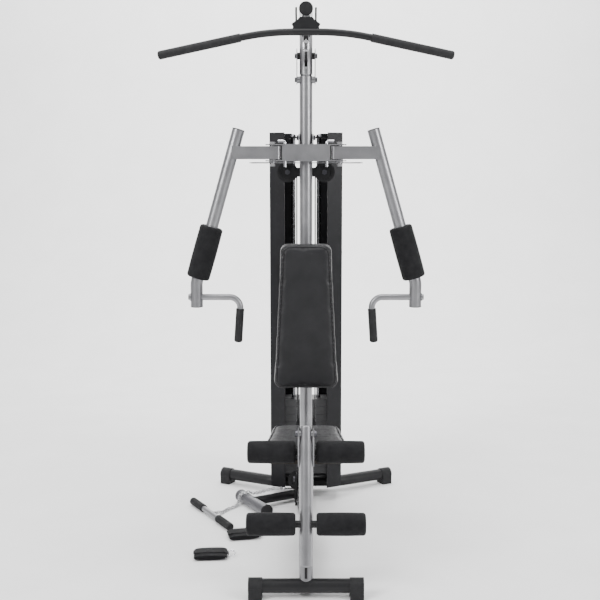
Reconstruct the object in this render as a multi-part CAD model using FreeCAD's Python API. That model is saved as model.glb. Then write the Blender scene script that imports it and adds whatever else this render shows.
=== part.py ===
import FreeCAD, Part
import math
import os

# Multi station home gym, in millimetres.
# X runs across the machine, +Y from its front stabiliser to its weight stack, +Z up.
# Every sub-part is drawn with Y measured back from the front stabiliser's axis and is moved
# onto the middle of the machine's footprint when it is saved.

os.makedirs("parts", exist_ok=True)
V = FreeCAD.Vector
X_AXIS = V(1, 0, 0)
Y_AXIS = V(0, 1, 0)
Z_AXIS = V(0, 0, 1)
ORIGIN_Y = 658.0            # middle of the footprint, behind the front stabiliser

# Frame tubes
TUBE_R = 25.0
TUBE_WALL = 2.5
FLOOR_TUBE_Z = 43.0         # axis height of the tubes near the floor
FLOOR_TUBE_TOP = FLOOR_TUBE_Z + TUBE_R
FRONT_HALF_LENGTH = 190.0
REAR_Y = 1215.0             # middle of the swept rear stabiliser
REAR_STRAIGHT = 150.0
REAR_TIP = (380.0, 1333.0)
REAR_BEND_R = 120.0
MAST_Y = 725.0
MAST_TOP = 1825.0
BOOM_Z = 2038.0
BOOM_FRONT_Y = 400.0
BOOM_BEND_R = 180.0
BOOM_FOOT_Z = 1832.0
HEAD_PLATE_X = 34.0
HEAD_PLATE_THICK = 3.0
HEAD_PLATE_Z = (1795.0, 1930.0)
HEAD_BOLTS_Z = (1812.0, 1903.0)

# Front post and leg lever
POST_FOOT = V(0, 12, FLOOR_TUBE_TOP)
POST_TOP = V(0, 129, 515)
LEVER_R = 21.0
LEVER_PIVOT = V(0, 88, 559)
LEVER_TOP = V(0, 95.5, 587)
LEVER_FOOT = V(0, -26.5, 120)
EAR_X = 23.5
EAR_THICK = 5.0
UPPER_ROLLER = V(0, 121, 485)
LOWER_ROLLER = V(0, 11.2, 260)
ROLLER_R = 40.0
ROLLER_INNER = 36.0
ROLLER_LENGTH = 170.0
ROLLER_GAP = 0.3
AXLE_R = 12.5

# Seat and backrest
SEAT_BEAM_Z = 385.0
SEAT_BOARD_Z = 410.0
BOARD_THICK = 15.0
BOARD_INSET = 14.0
SEAT_CORNER_R = 45.0
BACK_CORNER_R = 34.0
SEAT_PAD_THICK = 53.0
SEAT_FRONT_Y = 215.0
SEAT_REAR_Y = 542.0
SEAT_FRONT_HALF = 165.0
SEAT_REAR_HALF = 135.0
BACK_FACE_Y = 600.0
BACK_PAD_THICK = 55.0
BACK_Z = (598.0, 1186.0)
BACK_HALF = (136.0, 105.0)

# Cables and pulleys
CABLE_R = 2.5
PULLEY_R = 41.0
PULLEY_HALF = 8.5
GROOVE_R = 4.6
WRAP_R = 37.0               # radius of a cable's axis round a pulley
PULLEY_BORE = 6.05
AXLE_BOLT_R = 6.0
AXLE_HEAD_R = 11.0
AXLE_HEAD_LENGTH = 7.0
HEAD_BOLT_R = 5.0
LEAF_THICK = 4.0            # sheet of the plates that hold pulleys
FLY_PLANE_Y = 777.8
FLY_PULLEY_Z = 1454.0
FLY_BAR_GAP = 0.5
FLY_BAR_THICK = 4.0
FLOATING_Z = 420.0
BASE_PULLEY_Z = 147.0
LINK_Y = FLY_PLANE_Y + 4 * WRAP_R + 16.0
STACK_BLOCK_Z = 1180.0
BLOCK_BAR_DROP = 62.0       # from a floating block's pulley down to its cross bar
BLOCK_EYE_DROP = 80.0       # and down to where its cables end
TOP_FRONT_Z = 1757.0
TOP_REAR_Z = 1690.0
BOOM_PULLEY = V(0, 446, 1964)
LOW_PULLEY = V(-WRAP_R, 966, 122)
LEVER_CABLE_X = -33.0
LEVER_CABLE_Z = 150.0

EYE_R = 7.4
EYE_HOLE_R = 3.4
EYE_THICK = 4.0
LAT_EYE_Z = 1926.0
SNAP_WIRE_R = 2.6
SNAP_LENGTH = 34.0

# Weight stack
STACK_Y = 1150.0
PLATE_HALF = (142.0, 50.0)
PLATE_THICK = 33.0
PLATE_PITCH = 34.0
PLATES_LIFTED = 3
PLATES_RESTING = 6
STACK_FLOOR_Z = 112.0
ROD_X = 55.0
ROD_R = 9.0
STEM_R = 11.0
STEM_ABOVE = 42.0           # the stem's height above the top plate
PIN_R = 4.5
PIN_HOLE_R = 6.0
STACK_TOP_Z = 1600.0
TRAY_HALF = 147.6           # half width of the plates above and below the stack
TRAY_DEPTH = (STACK_Y - 50, STACK_Y + 55)
SHROUD_Z = (60.0, 1618.0)
SHROUD_HALF = 156.0
SHROUD_LIP_X = 93.0
SHROUD_FRONT_Y = 1052.0
SHROUD_CORNER_Y = 1084.0
SHROUD_REAR_Y = 1246.0
SHEET = 2.0

# Press frame and arms
HINGE_Z = 1589.0
PRESS_Y = 668.0
PRESS_Z = 1530.0
PRESS_BOX = (92.5, 26.0, 33.0)
EAR_REACH = 157.0
ARM_PIVOT_X = 131.0
ARM_HALF = 25.0
ARM_INNER_X = 99.0
NECK_R = 13.0
CAM_R = 107.0
CAM_Z = (1489.5, 1492.5)
CAM_SWEEP = (8.0, 150.0)
ARM_TOP = V(-262, PRESS_Y, 1618)
ARM_ELBOW = V(-433, PRESS_Y, 1022)
ARM_FOOT = V(-433, PRESS_Y, 927)
ARM_BEND_R = 80.0
ARM_TUBE_R = 24.0
FOAM_R = 46.5
FOAM_Z = (1040.0, 1243.0)
HANDLE_Z = 964.0
HANDLE_R = 12.5
HANDLE_OUTER_X = -458.0
HANDLE_BEND = V(-258, PRESS_Y, HANDLE_Z)
HANDLE_FOOT = V(-270, PRESS_Y, 788)
HANDLE_BEND_R = 42.0
GRIP_R = 16.5
GRIP_LENGTH = 130.0
LOCK_PIN_X = 81.0
LOCK_PIN_R = 5.0

# Lat bar
BAR_R = 12.5
BAR_Y = 372.0
BAR_HALF = 525.0
BAR_Z = 1953.0
BAR_CORNER_X = 140.0
BAR_DROOP = math.radians(12)
BAR_BEND_R = 900.0
BAR_GRIP_R = 15.5
HOOK_R = 3.5
HOOK_FOOT = V(35, 396, 1962)
HOOK_TIP = V(35, 358, 2036)
RING_R = 16.0
RING_UP = 0.26              # where the rings sit, as a share of a hook rod's length

# Row handle, chain, foot bar and ankle straps, which lie on the floor
ROW_BAR = (V(-497, 1002, 17), V(-309, 664, 17))
ROW_GRIP_LENGTH = 118.0
CHAIN_WIRE_R = 1.8
CHAIN_LENGTH = 19.0
CHAIN_WIDTH = 5.6
CHAIN_FLOOR_Z = CHAIN_WIDTH + CHAIN_WIRE_R + 0.4
FOOT_BAR_CENTRE = V(-227, 942, 27)
FOOT_BAR_AIM = V(math.cos(math.radians(30)), math.sin(math.radians(30)), 0)
FOOT_BAR_HALF = 118.0
STRAPS = {"right_ankle_strap": (V(-366, 380, 0), 4.0), "left_ankle_strap": (V(-252, 598, 0), 12.0)}
STRAP_SIZE = (132.0, 92.0, 24.0)


def rod(start, end, radius):
    """A round bar from one point to another."""
    along = end - start
    return Part.makeCylinder(radius, along.Length, start, along)


def tube(start, end, radius, wall=TUBE_WALL):
    """A round tube, open at both ends."""
    return rod(start, end, radius).cut(rod(start, end, radius - wall))


def block(x, y, z):
    """A box from its three (low, high) ranges."""
    return Part.makeBox(x[1] - x[0], y[1] - y[0], z[1] - z[0], V(x[0], y[0], z[0]))


def plate(points, thickness, direction):
    """A flat plate: an outline given by its corners, made thick along direction."""
    face = Part.Face(Part.makePolygon(points + [points[0]]))
    return face.extrude(direction * thickness)


def mirrored(shape):
    return shape.mirror(V(0, 0, 0), X_AXIS)


def both_sides(shape):
    return [shape, mirrored(shape)]


def rounded_route(points, radii):
    """Straight runs through the points, joined by tangent arcs of the given radii."""
    edges = []
    start = points[0]
    for before, corner, after, radius in zip(points, points[1:], points[2:], radii):
        back = (before - corner).normalize()
        ahead = (after - corner).normalize()
        half_angle = back.getAngle(ahead) / 2
        setback = radius / math.tan(half_angle)
        arc_start = corner + back * setback
        arc_end = corner + ahead * setback
        inward = (back + ahead).normalize()
        middle = corner + inward * (radius / math.sin(half_angle) - radius)
        if (arc_start - start).Length > 0.01:
            edges.append(Part.LineSegment(start, arc_start).toShape())
        edges.append(Part.Arc(arc_start, middle, arc_end).toShape())
        start = arc_end
    if (points[-1] - start).Length > 0.01:
        edges.append(Part.LineSegment(start, points[-1]).toShape())
    return Part.Wire(edges)


def swept(points, radii, radius):
    """A round section carried along a rounded route."""
    route = rounded_route(points, radii)
    section = Part.Wire(Part.makeCircle(radius, points[0], points[1] - points[0]))
    return route.makePipeShell([section], True, False)


def bent_tube(points, radii, radius, wall=TUBE_WALL):
    return swept(points, radii, radius).cut(swept(points, radii, radius - wall))


def fused(*shapes):
    result = shapes[0]
    for shape in shapes[1:]:
        result = result.fuse(shape)
    return result.removeSplitter()


def largest(shape):
    """The main solid of a cut shape, without the offcuts."""
    return max(shape.Solids, key=lambda solid: solid.Volume)


def ring(centre, axis, outer, inner, length):
    """A flat ring or sleeve centred on a point."""
    start = centre - axis * (length / 2)
    sleeve = Part.makeCylinder(outer, length, start, axis)
    return sleeve.cut(Part.makeCylinder(inner, length, start, axis))


def hex_head(face_centre, direction, head_r, length):
    """A hexagonal bolt head or nut standing on a face."""
    across = Z_AXIS if abs(direction.z) < 0.9 else X_AXIS
    corners = []
    for step in range(6):
        turn = FreeCAD.Rotation(direction, 60 * step)
        corners.append(face_centre + turn.multVec(across * head_r))
    return plate(corners, length, direction)


def hex_bolt(start, end, shaft_r, head_r, head_length):
    """A bolt with its head beyond start and its nut beyond end."""
    along = (end - start).normalize()
    shaft = rod(start - along * head_length, end + along * head_length, shaft_r)
    head = hex_head(start, along * -1, head_r, head_length)
    return fused(shaft, head, hex_head(end, along, head_r, head_length))


def pulley(centre, axis):
    """A grooved wheel with a bore for its axle bolt and a hub on each side."""
    wheel = Part.makeCylinder(PULLEY_R, 2 * PULLEY_HALF, centre - axis * PULLEY_HALF, axis)
    bore = Part.makeCylinder(PULLEY_BORE, 4 * PULLEY_HALF, centre - axis * 2 * PULLEY_HALF, axis)
    groove = Part.makeTorus(WRAP_R, GROOVE_R, centre, axis)
    mouth = ring(centre, axis, PULLEY_R + 1, WRAP_R, 2 * GROOVE_R)
    web_outer = WRAP_R - 9
    web_inner = 13.0
    for side in (-1, 1):
        recess = ring(centre + axis * side * (PULLEY_HALF - 2), axis, web_outer, web_inner, 4.01)
        wheel = wheel.cut(recess)
    return wheel.cut(groove).cut(mouth).cut(bore)


def sheet_section(points, z_range):
    """A folded sheet: a chain of flat strips through plan points, standing upright."""
    height = z_range[1] - z_range[0]
    strips = []
    for (x0, y0), (x1, y1) in zip(points, points[1:]):
        length = math.hypot(x1 - x0, y1 - y0)
        strip = Part.makeBox(length, SHEET, height, V(0, -SHEET / 2, 0))
        strip.rotate(V(0, 0, 0), Z_AXIS, math.degrees(math.atan2(y1 - y0, x1 - x0)))
        strip.translate(V(x0, y0, z_range[0]))
        strips.append(strip)
    for x, y in points[1:-1]:
        strips.append(Part.makeCylinder(SHEET / 2, height, V(x, y, z_range[0])))
    return fused(*strips)


def save(name, *solids):
    shape = solids[0] if len(solids) == 1 else Part.makeCompound(list(solids))
    shape = shape.copy()
    shape.translate(V(0, -ORIGIN_Y, 0))
    for solid in shape.Solids:
        if not solid.isValid():
            print("not valid:", name)
    shape.exportStep("parts/" + name + ".step")
    print(f"{name}: {len(shape.Solids)} solids, {shape.Volume / 1000:.1f} cm3")


# ---------------------------------------------------------------- floor frame

def front_stabilizer_bar():
    return rod(V(-FRONT_HALF_LENGTH, 0, FLOOR_TUBE_Z), V(FRONT_HALF_LENGTH, 0, FLOOR_TUBE_Z), TUBE_R)


def rear_route():
    tip_x, tip_y = REAR_TIP
    return [V(-tip_x, tip_y, FLOOR_TUBE_Z), V(-REAR_STRAIGHT, REAR_Y, FLOOR_TUBE_Z),
            V(REAR_STRAIGHT, REAR_Y, FLOOR_TUBE_Z), V(tip_x, tip_y, FLOOR_TUBE_Z)]


def rear_bar():
    return swept(rear_route(), [REAR_BEND_R, REAR_BEND_R], TUBE_R)


def make_stabilizers():
    end = V(FRONT_HALF_LENGTH, 0, FLOOR_TUBE_Z)
    save("front_stabilizer", tube(end * -1 + V(0, 0, 2 * FLOOR_TUBE_Z), end, TUBE_R))
    save("rear_stabilizer", bent_tube(rear_route(), [REAR_BEND_R, REAR_BEND_R], TUBE_R))


def foot_cap(tip, outward):
    """A rubber cap over a stabiliser's end, with the foot that the machine stands on."""
    sleeve_length = 38.0
    end_wall = 10.0
    cap_r = TUBE_R + 3.5
    inner = tip - outward * sleeve_length
    outer = tip + outward * end_wall
    cap = rod(inner, outer, cap_r)
    length = sleeve_length + end_wall
    foot = Part.makeBox(length, 2 * cap_r + 2, FLOOR_TUBE_Z, V(-length, -cap_r - 1, 0))
    foot = foot.makeFillet(4.0, [e for e in foot.Edges if e.BoundBox.ZMax > 1.0])
    foot.rotate(V(0, 0, 0), Z_AXIS, math.degrees(math.atan2(outward.y, outward.x)))
    foot.translate(V(outer.x, outer.y, 0))
    bore = rod(inner - outward, tip, TUBE_R)
    return fused(cap, foot).cut(bore)


def make_end_caps():
    rear = rear_route()
    rear_out = (rear[3] - rear[2]).normalize()
    front_end = V(FRONT_HALF_LENGTH, 0, FLOOR_TUBE_Z)
    caps = both_sides(foot_cap(front_end, X_AXIS)) + both_sides(foot_cap(rear[3], rear_out))
    save("end_caps", *caps, *tube_plugs())


def square_tube(y0, y1, z_middle):
    outer = block((-TUBE_R, TUBE_R), (y0, y1), (z_middle - TUBE_R, z_middle + TUBE_R))
    inner_half = TUBE_R - TUBE_WALL
    inner = block((-inner_half, inner_half), (y0, y1), (z_middle - inner_half, z_middle + inner_half))
    return outer.cut(inner)


def low_bracket():
    """Two plates beside the low pulley, welded to the beam's side."""
    x, y, z = LOW_PULLEY
    plates = []
    for side in (-1, 1):
        middle_y = y + side * (PULLEY_HALF + 3.5)
        leaf = block((x - 14, x + 12), (middle_y - 2, middle_y + 2), (FLOOR_TUBE_Z, z + 16))
        plates.append(leaf)
    shelf = block((x - 14, -TUBE_R), (y - PULLEY_HALF - 5.5, y + PULLEY_HALF + 5.5),
                  (FLOOR_TUBE_Z - 4, FLOOR_TUBE_Z))
    bolt_hole = rod(V(x, y - 20, z), V(x, y + 20, z), AXLE_BOLT_R)
    return fused(shelf, *plates).cut(bolt_hole)


def base_pulley_leaves():
    """Upright plates that carry the base pulleys above the beam."""
    leaves = []
    for x in (-PULLEY_HALF - 3.5, PULLEY_HALF + 3.5):
        leaf = block((x - 2, x + 2), (FLY_PLANE_Y + 20, LINK_Y - 20),
                     (FLOOR_TUBE_TOP, BASE_PULLEY_Z + 14))
        leaves.append(leaf)
    outrigger_x = LEVER_CABLE_X - PULLEY_HALF - 3.5
    outrigger = block((outrigger_x - 2, outrigger_x + 2), (LINK_Y - 57, LINK_Y - 20),
                      (FLOOR_TUBE_TOP - 30, BASE_PULLEY_Z + 14))
    foot = block((outrigger_x - 2, -TUBE_R), (LINK_Y - 57, LINK_Y - 20),
                 (FLOOR_TUBE_TOP - 34, FLOOR_TUBE_TOP - 30))
    return leaves, fused(outrigger, foot)


def base_axle_points():
    return V(0, FLY_PLANE_Y + WRAP_R, BASE_PULLEY_Z), V(0, LINK_Y - WRAP_R, BASE_PULLEY_Z)


def base_beam():
    """The beam along the floor, with its pulley plates and the tray under the weights."""
    beam = square_tube(0, REAR_Y, FLOOR_TUBE_Z)
    beam = beam.cut(front_stabilizer_bar()).cut(rear_bar())
    leaves, outrigger = base_pulley_leaves()
    beam = fused(beam, low_bracket(), outrigger, *leaves, *stack_tray())
    for axle in base_axle_points():
        beam = beam.cut(rod(axle - X_AXIS * 70, axle + X_AXIS * 70, AXLE_BOLT_R))
    return largest(beam)


# ---------------------------------------------------------------- front post, seat beam, mast

def post_direction():
    return (POST_TOP - POST_FOOT).normalize()


def cable_slot(y0, y1, z, half_height):
    half_width = 7.0
    return block((-half_width, half_width), (y0, y1), (z - half_height, z + half_height))


def lever_ears():
    """The clevis on top of the post that holds the lever's pivot bolt."""
    outline = [(155, 440), (158, 512), (118, 545), (100, 578), (74, 576), (66, 552), (92, 440)]
    points = [V(EAR_X, y, z) for y, z in outline]
    ear = plate(points, EAR_THICK, X_AXIS)
    pivot = rod(LEVER_PIVOT - X_AXIS * 60, LEVER_PIVOT + X_AXIS * 60, AXLE_BOLT_R)
    return [side.cut(pivot) for side in both_sides(ear)]


def make_front_post():
    """The leaning tube that carries the seat, with the lever's ears and a slot for its cable."""
    low = POST_FOOT - post_direction() * 40
    post = rod(low, POST_TOP, TUBE_R)
    bore = rod(low, POST_TOP - post_direction() * 3, TUBE_R - TUBE_WALL)
    beam_space = block((-TUBE_R, TUBE_R), (0, 200), (0, FLOOR_TUBE_TOP))
    floor_space = block((-60, 60), (-90, 200), (-60, FLOOR_TUBE_Z))
    post = post.cut(bore)
    for ear in lever_ears():
        post = post.fuse(ear)
    post = post.cut(front_stabilizer_bar()).cut(beam_space).cut(floor_space)
    axle = rod(UPPER_ROLLER - X_AXIS * 60, UPPER_ROLLER + X_AXIS * 60, AXLE_R)
    post = post.cut(axle).cut(cable_slot(-30, 80, LEVER_CABLE_Z - 2, 12))
    save("front_post", largest(post).removeSplitter())


def post_bar():
    return rod(POST_FOOT, POST_TOP, TUBE_R)


def mast_bar():
    return rod(V(0, MAST_Y, FLOOR_TUBE_TOP), V(0, MAST_Y, MAST_TOP), TUBE_R)


def seat_beam():
    """The level beam under the seat, from the front post to the mast."""
    post_y = POST_FOOT.y + (SEAT_BEAM_Z - POST_FOOT.z) * post_direction().y / post_direction().z
    beam = square_tube(post_y, MAST_Y, SEAT_BEAM_Z).cut(post_bar()).cut(mast_bar())
    return largest(beam)


def fly_pulley_bracket():
    """Two cross bars welded behind the mast, one on each side of the fly pulleys."""
    z = FLY_PULLEY_Z
    reach = PULLEY_HALF + FLY_BAR_GAP + FLY_BAR_THICK
    pieces = [block((-20, 20), (MAST_Y + 12, FLY_PLANE_Y + reach), (z - 18, z + 18))]
    for y0 in (FLY_PLANE_Y - reach, FLY_PLANE_Y + reach - FLY_BAR_THICK):
        pieces.append(block((-96, 96), (y0, y0 + FLY_BAR_THICK), (z - 18, z + 18)))
    bracket = fused(*pieces).cut(mast_bar())
    for x in (-2 * WRAP_R, 2 * WRAP_R):
        bracket = bracket.cut(rod(V(x, FLY_PLANE_Y - 40, z), V(x, FLY_PLANE_Y + 40, z), AXLE_BOLT_R))
    return bracket


def mast():
    """The upright tube, drilled for the press hinge and the head bolt, with the fly pulleys' bracket."""
    upright = tube(V(0, MAST_Y, FLOOR_TUBE_TOP), V(0, MAST_Y, MAST_TOP), TUBE_R)
    hinge = rod(V(-60, MAST_Y, HINGE_Z), V(60, MAST_Y, HINGE_Z), AXLE_BOLT_R)
    head = rod(V(-60, MAST_Y, HEAD_BOLTS_Z[0]), V(60, MAST_Y, HEAD_BOLTS_Z[0]), HEAD_BOLT_R)
    return fused(upright.cut(hinge).cut(head), fly_pulley_bracket())


# ---------------------------------------------------------------- boom

def boom_points():
    return [V(0, BOOM_FRONT_Y, BOOM_Z), V(0, MAST_Y, BOOM_Z), V(0, MAST_Y, BOOM_FOOT_Z)]


def boom_pulley_leaves():
    """Two plates under the boom that hold its front pulley."""
    leaves = []
    outline = [(470, 2030), (418, 2030), (424, 1956), (436, 1944), (458, 1944), (470, 1956)]
    for x in (-PULLEY_HALF - 5.5, PULLEY_HALF + 1.5):
        leaves.append(plate([V(x, y, z) for y, z in outline], LEAF_THICK, X_AXIS))
    return leaves


def bar_hooks():
    """Two rods that the lat bar's rings hang on, each welded to a pulley plate."""
    hooks = []
    for side in (1, -1):
        foot = V(side * HOOK_FOOT.x, HOOK_FOOT.y, HOOK_FOOT.z)
        tip = V(side * HOOK_TIP.x, HOOK_TIP.y, HOOK_TIP.z)
        inner = V(side * (PULLEY_HALF + 3.5), foot.y + 34, foot.z + 4)
        hooks.append(swept([inner, foot, tip], [12.0], HOOK_R))
    return hooks


def make_boom():
    """The bent tube with its cable slots, the long slot inside its bend, its pulley plates and hooks."""
    boom = bent_tube(boom_points(), [BOOM_BEND_R], TUBE_R)
    start, end = high_cable_slope()
    along = (end - start).normalize()
    slot = rod(start + along * 60, end - along * 60, 7.0)
    bolt = rod(V(-60, MAST_Y, HEAD_BOLTS_Z[1]), V(60, MAST_Y, HEAD_BOLTS_Z[1]), HEAD_BOLT_R)
    drain = block((-5, 5), (MAST_Y - 75, MAST_Y - 10), (BOOM_FOOT_Z + 13, BOOM_FOOT_Z + 123))
    inside = swept(boom_points(), [BOOM_BEND_R], TUBE_R - 0.5)
    leaves = [leaf.cut(inside) for leaf in boom_pulley_leaves()]
    boom = fused(boom.cut(slot).cut(bolt).cut(drain), *leaves, *bar_hooks())
    axle = rod(BOOM_PULLEY - X_AXIS * 40, BOOM_PULLEY + X_AXIS * 40, AXLE_BOLT_R)
    save("boom", largest(boom.cut(axle)))


def tube_plugs():
    """Round plugs in open tube ends: the boom's front end and the foot bar's two ends."""
    boom_end = V(0, BOOM_FRONT_Y, BOOM_Z)
    head = rod(boom_end - Y_AXIS * 6, boom_end, TUBE_R + 0.5)
    head = head.makeFillet(2.5, [e for e in head.Edges if e.Closed and e.BoundBox.YMin < boom_end.y - 5])
    plugs = [fused(head, rod(boom_end, boom_end + Y_AXIS * 18, TUBE_R - TUBE_WALL))]
    across = foot_bar_across()
    for side in (-1, 1):
        end = FOOT_BAR_CENTRE + across * side * FOOT_BAR_HALF
        outer = end + across * side * 8
        inner = end - across * side * 16
        collar = rod(end, outer, TUBE_R + 2)
        plugs.append(fused(collar, rod(inner, end, TUBE_R - TUBE_WALL)))
    return plugs


def head_plates():
    """The two plates that join the boom to the mast, each with the spacers behind its bolts."""
    z0, z1 = HEAD_PLATE_Z
    corner = 10.0
    shape = block((HEAD_PLATE_X, HEAD_PLATE_X + HEAD_PLATE_THICK), (MAST_Y - 26, MAST_Y + 26), (z0, z1))
    shape = shape.makeFillet(corner, [e for e in shape.Edges if abs(e.tangentAt(0).x) > 0.9])
    pieces = []
    for z in HEAD_BOLTS_Z:
        centre = V(TUBE_R + (HEAD_PLATE_X - TUBE_R) / 2, MAST_Y, z)
        shape = shape.cut(rod(V(0, MAST_Y, z), V(60, MAST_Y, z), HEAD_BOLT_R))
        spacer = ring(centre, X_AXIS, 13.0, HEAD_BOLT_R, HEAD_PLATE_X - TUBE_R + 6)
        pieces.append(spacer.cut(mast_bar()).cut(swept(boom_points(), [BOOM_BEND_R], TUBE_R)))
    half = fused(shape, *pieces)
    return both_sides(largest(half))


# ---------------------------------------------------------------- top frame, rods, shroud, weights

def make_top_frame():
    """Two rails from the mast to the guide rods' top plate, with the top pulleys between them."""
    pieces = []
    outline = [(MAST_Y, 1600), (1205, 1600), (1205, 1640), (1150, 1706), (1090, 1710),
               (900, 1775), (845, 1775), (MAST_Y, 1690)]
    for x in (-PULLEY_HALF - 6.5, PULLEY_HALF + 2.5):
        pieces.append(plate([V(x, y, z) for y, z in outline], LEAF_THICK, X_AXIS))
    pieces.append(block((-TRAY_HALF, TRAY_HALF), TRAY_DEPTH, (STACK_TOP_Z - 5, STACK_TOP_Z)))
    frame = fused(*pieces).cut(mast_bar())
    for wheel in (top_front_pulley(), top_rear_pulley()):
        frame = frame.cut(rod(wheel - X_AXIS * 40, wheel + X_AXIS * 40, AXLE_BOLT_R))
    for x in (-ROD_X, ROD_X):
        frame = frame.cut(rod(V(x, STACK_Y, 1500), V(x, STACK_Y, 1700), ROD_R))
    frame = frame.cut(rod(V(0, STACK_Y, 1500), V(0, STACK_Y, 1700), 7.0))
    save("top_frame", largest(frame))


def make_guide_rods():
    rods = []
    for x in (-ROD_X, ROD_X):
        bar = rod(V(x, STACK_Y, STACK_FLOOR_Z - 12), V(x, STACK_Y, STACK_TOP_Z + 2), ROD_R)
        dome = Part.makeSphere(ROD_R + 3, V(x, STACK_Y, STACK_TOP_Z + 2))
        dome = dome.cut(block((x - 30, x + 30), (1100, 1200), (STACK_TOP_Z - 40, STACK_TOP_Z)))
        rods.append(fused(bar, dome))
    save("guide_rods", *rods)


def stack_tray():
    """The tray under the weights, standing on the rear end of the base beam."""
    tray = block((-TRAY_HALF, TRAY_HALF), TRAY_DEPTH, (STACK_FLOOR_Z - 12, STACK_FLOOR_Z - 6))
    for x in (-ROD_X, ROD_X):
        tray = tray.cut(rod(V(x, STACK_Y, 60), V(x, STACK_Y, 160), ROD_R))
    post = block((-TUBE_R, TUBE_R), (STACK_Y - 50, STACK_Y + 35), (FLOOR_TUBE_TOP, STACK_FLOOR_Z - 12))
    return [tray, post]


def shroud_half():
    """One folded side of the cover round the weights, with the brackets that hold it."""
    outline = [(SHROUD_LIP_X, SHROUD_FRONT_Y + 26), (SHROUD_LIP_X, SHROUD_FRONT_Y),
               (SHROUD_HALF - SHEET / 2, SHROUD_CORNER_Y), (SHROUD_HALF - SHEET / 2, SHROUD_REAR_Y),
               (SHROUD_LIP_X - 30, SHROUD_REAR_Y)]
    shell = sheet_section(outline, SHROUD_Z).cut(rear_bar())
    brackets = []
    for z in (STACK_TOP_Z - 5, STACK_FLOOR_Z - 12):
        brackets.append(block((TRAY_HALF + 0.4, SHROUD_HALF - SHEET), (STACK_Y - 30, STACK_Y + 30), (z, z + 5)))
    return largest(fused(shell, *brackets))


def make_shroud():
    save("shroud", *both_sides(shroud_half()))


def weight_plate(z):
    """One plate with its guide holes, its stem hole and the pin's hole in front."""
    half_x, half_y = PLATE_HALF
    body = block((-half_x, half_x), (STACK_Y - half_y, STACK_Y + half_y), (z, z + PLATE_THICK))
    body = body.makeFillet(5.0, [e for e in body.Edges if abs(e.tangentAt(0).z) > 0.9])
    top = z + PLATE_THICK
    for x in (-ROD_X, ROD_X):
        body = body.cut(rod(V(x, STACK_Y, z), V(x, STACK_Y, top), ROD_R + 2))
    body = body.cut(rod(V(0, STACK_Y, z), V(0, STACK_Y, top), STEM_R + 2))
    middle = z + PLATE_THICK / 2
    return body.cut(rod(V(0, STACK_Y - half_y - 5, middle), V(0, STACK_Y, middle), PIN_HOLE_R))


def plate_z(number):
    """The underside of a plate, counted from the bottom of the stack."""
    return STACK_FLOOR_Z + number * PLATE_PITCH


def pin_z():
    return plate_z(PLATES_RESTING) + PLATE_THICK / 2


def stem_top_z():
    return plate_z(PLATES_RESTING + PLATES_LIFTED) + PLATE_THICK + STEM_ABOVE


def make_weights():
    """Nine plates, and the top plate with its hub and the drilled stem that the pin goes through."""
    total = PLATES_RESTING + PLATES_LIFTED
    save("resting_plates", *[weight_plate(plate_z(n)) for n in range(PLATES_RESTING)])
    save("lifted_plates", *[weight_plate(plate_z(n)) for n in range(PLATES_RESTING, total)])
    z = plate_z(total)
    hub_top = z + PLATE_THICK + 22
    top = fused(weight_plate(z), rod(V(0, STACK_Y, z + PLATE_THICK - 6), V(0, STACK_Y, hub_top), 16.0))
    middle = z + PLATE_THICK / 2
    plug = rod(V(0, STACK_Y - PLATE_HALF[1], middle), V(0, STACK_Y, middle), PIN_HOLE_R)
    top = top.fuse(plug).cut(rod(V(0, STACK_Y, z - 1), V(0, STACK_Y, hub_top), STEM_R))
    stem = rod(V(0, STACK_Y, STACK_FLOOR_Z + 4), V(0, STACK_Y, stem_top_z()), STEM_R)
    for number in range(total):
        middle = plate_z(number) + PLATE_THICK / 2
        stem = stem.cut(rod(V(0, STACK_Y - 20, middle), V(0, STACK_Y + 20, middle), PIN_R + 1))
    save("top_plate", top, stem)


def make_selector_pin():
    z = pin_z()
    front = STACK_Y - PLATE_HALF[1]
    pin = rod(V(0, front - 14, z), V(0, STACK_Y + STEM_R, z), PIN_R)
    knob = rod(V(0, front - 42, z), V(0, front - 6, z), 13.0)
    knob = knob.makeFillet(4.0, [e for e in knob.Edges if e.BoundBox.YLength < 0.1])
    save("selector_pin", fused(pin, knob))


# ---------------------------------------------------------------- pads

def tapered_pad(half_low, half_high, low, high, place, corner):
    """A four-cornered outline, wider at its low end, with rounded corners; place maps it to space."""
    corners = [(-half_low, low), (half_low, low), (half_high, high), (-half_high, high)]
    middle_low = (0.0, low)
    points = [middle_low] + corners[1:] + [corners[0], middle_low]
    return rounded_route([place(x, t) for x, t in points], [corner] * 4)


def seat_outline(shrink, z):
    """The seat's flat outline at a height, drawn in from its edge by shrink."""
    wire = tapered_pad(SEAT_FRONT_HALF - shrink, SEAT_REAR_HALF - shrink, SEAT_FRONT_Y + shrink,
                       SEAT_REAR_Y - shrink, lambda x, y: V(x, y, z), SEAT_CORNER_R - shrink)
    return Part.Face(wire)


def seat_board():
    return seat_outline(BOARD_INSET, SEAT_BOARD_Z).extrude(Z_AXIS * BOARD_THICK)


def back_outline(shrink, y):
    """The backrest's upright outline at a depth, drawn in from its edge by shrink."""
    wire = tapered_pad(BACK_HALF[0] - shrink, BACK_HALF[1] - shrink, BACK_Z[0] + shrink,
                       BACK_Z[1] - shrink, lambda x, z: V(x, y, z), BACK_CORNER_R - shrink / 2)
    return Part.Face(wire)


def back_board():
    """The backrest's board with the two blocks that stand it off the mast."""
    pad_rear = BACK_FACE_Y + BACK_PAD_THICK
    pieces = [back_outline(BOARD_INSET, pad_rear).extrude(Y_AXIS * BOARD_THICK)]
    for z in (BACK_Z[0] + 110, BACK_Z[1] - 110):
        post = block((-22, 22), (pad_rear + BOARD_THICK, MAST_Y), (z - 30, z + 30))
        pieces.append(post.cut(mast_bar()))
    return largest(fused(*pieces))


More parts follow.
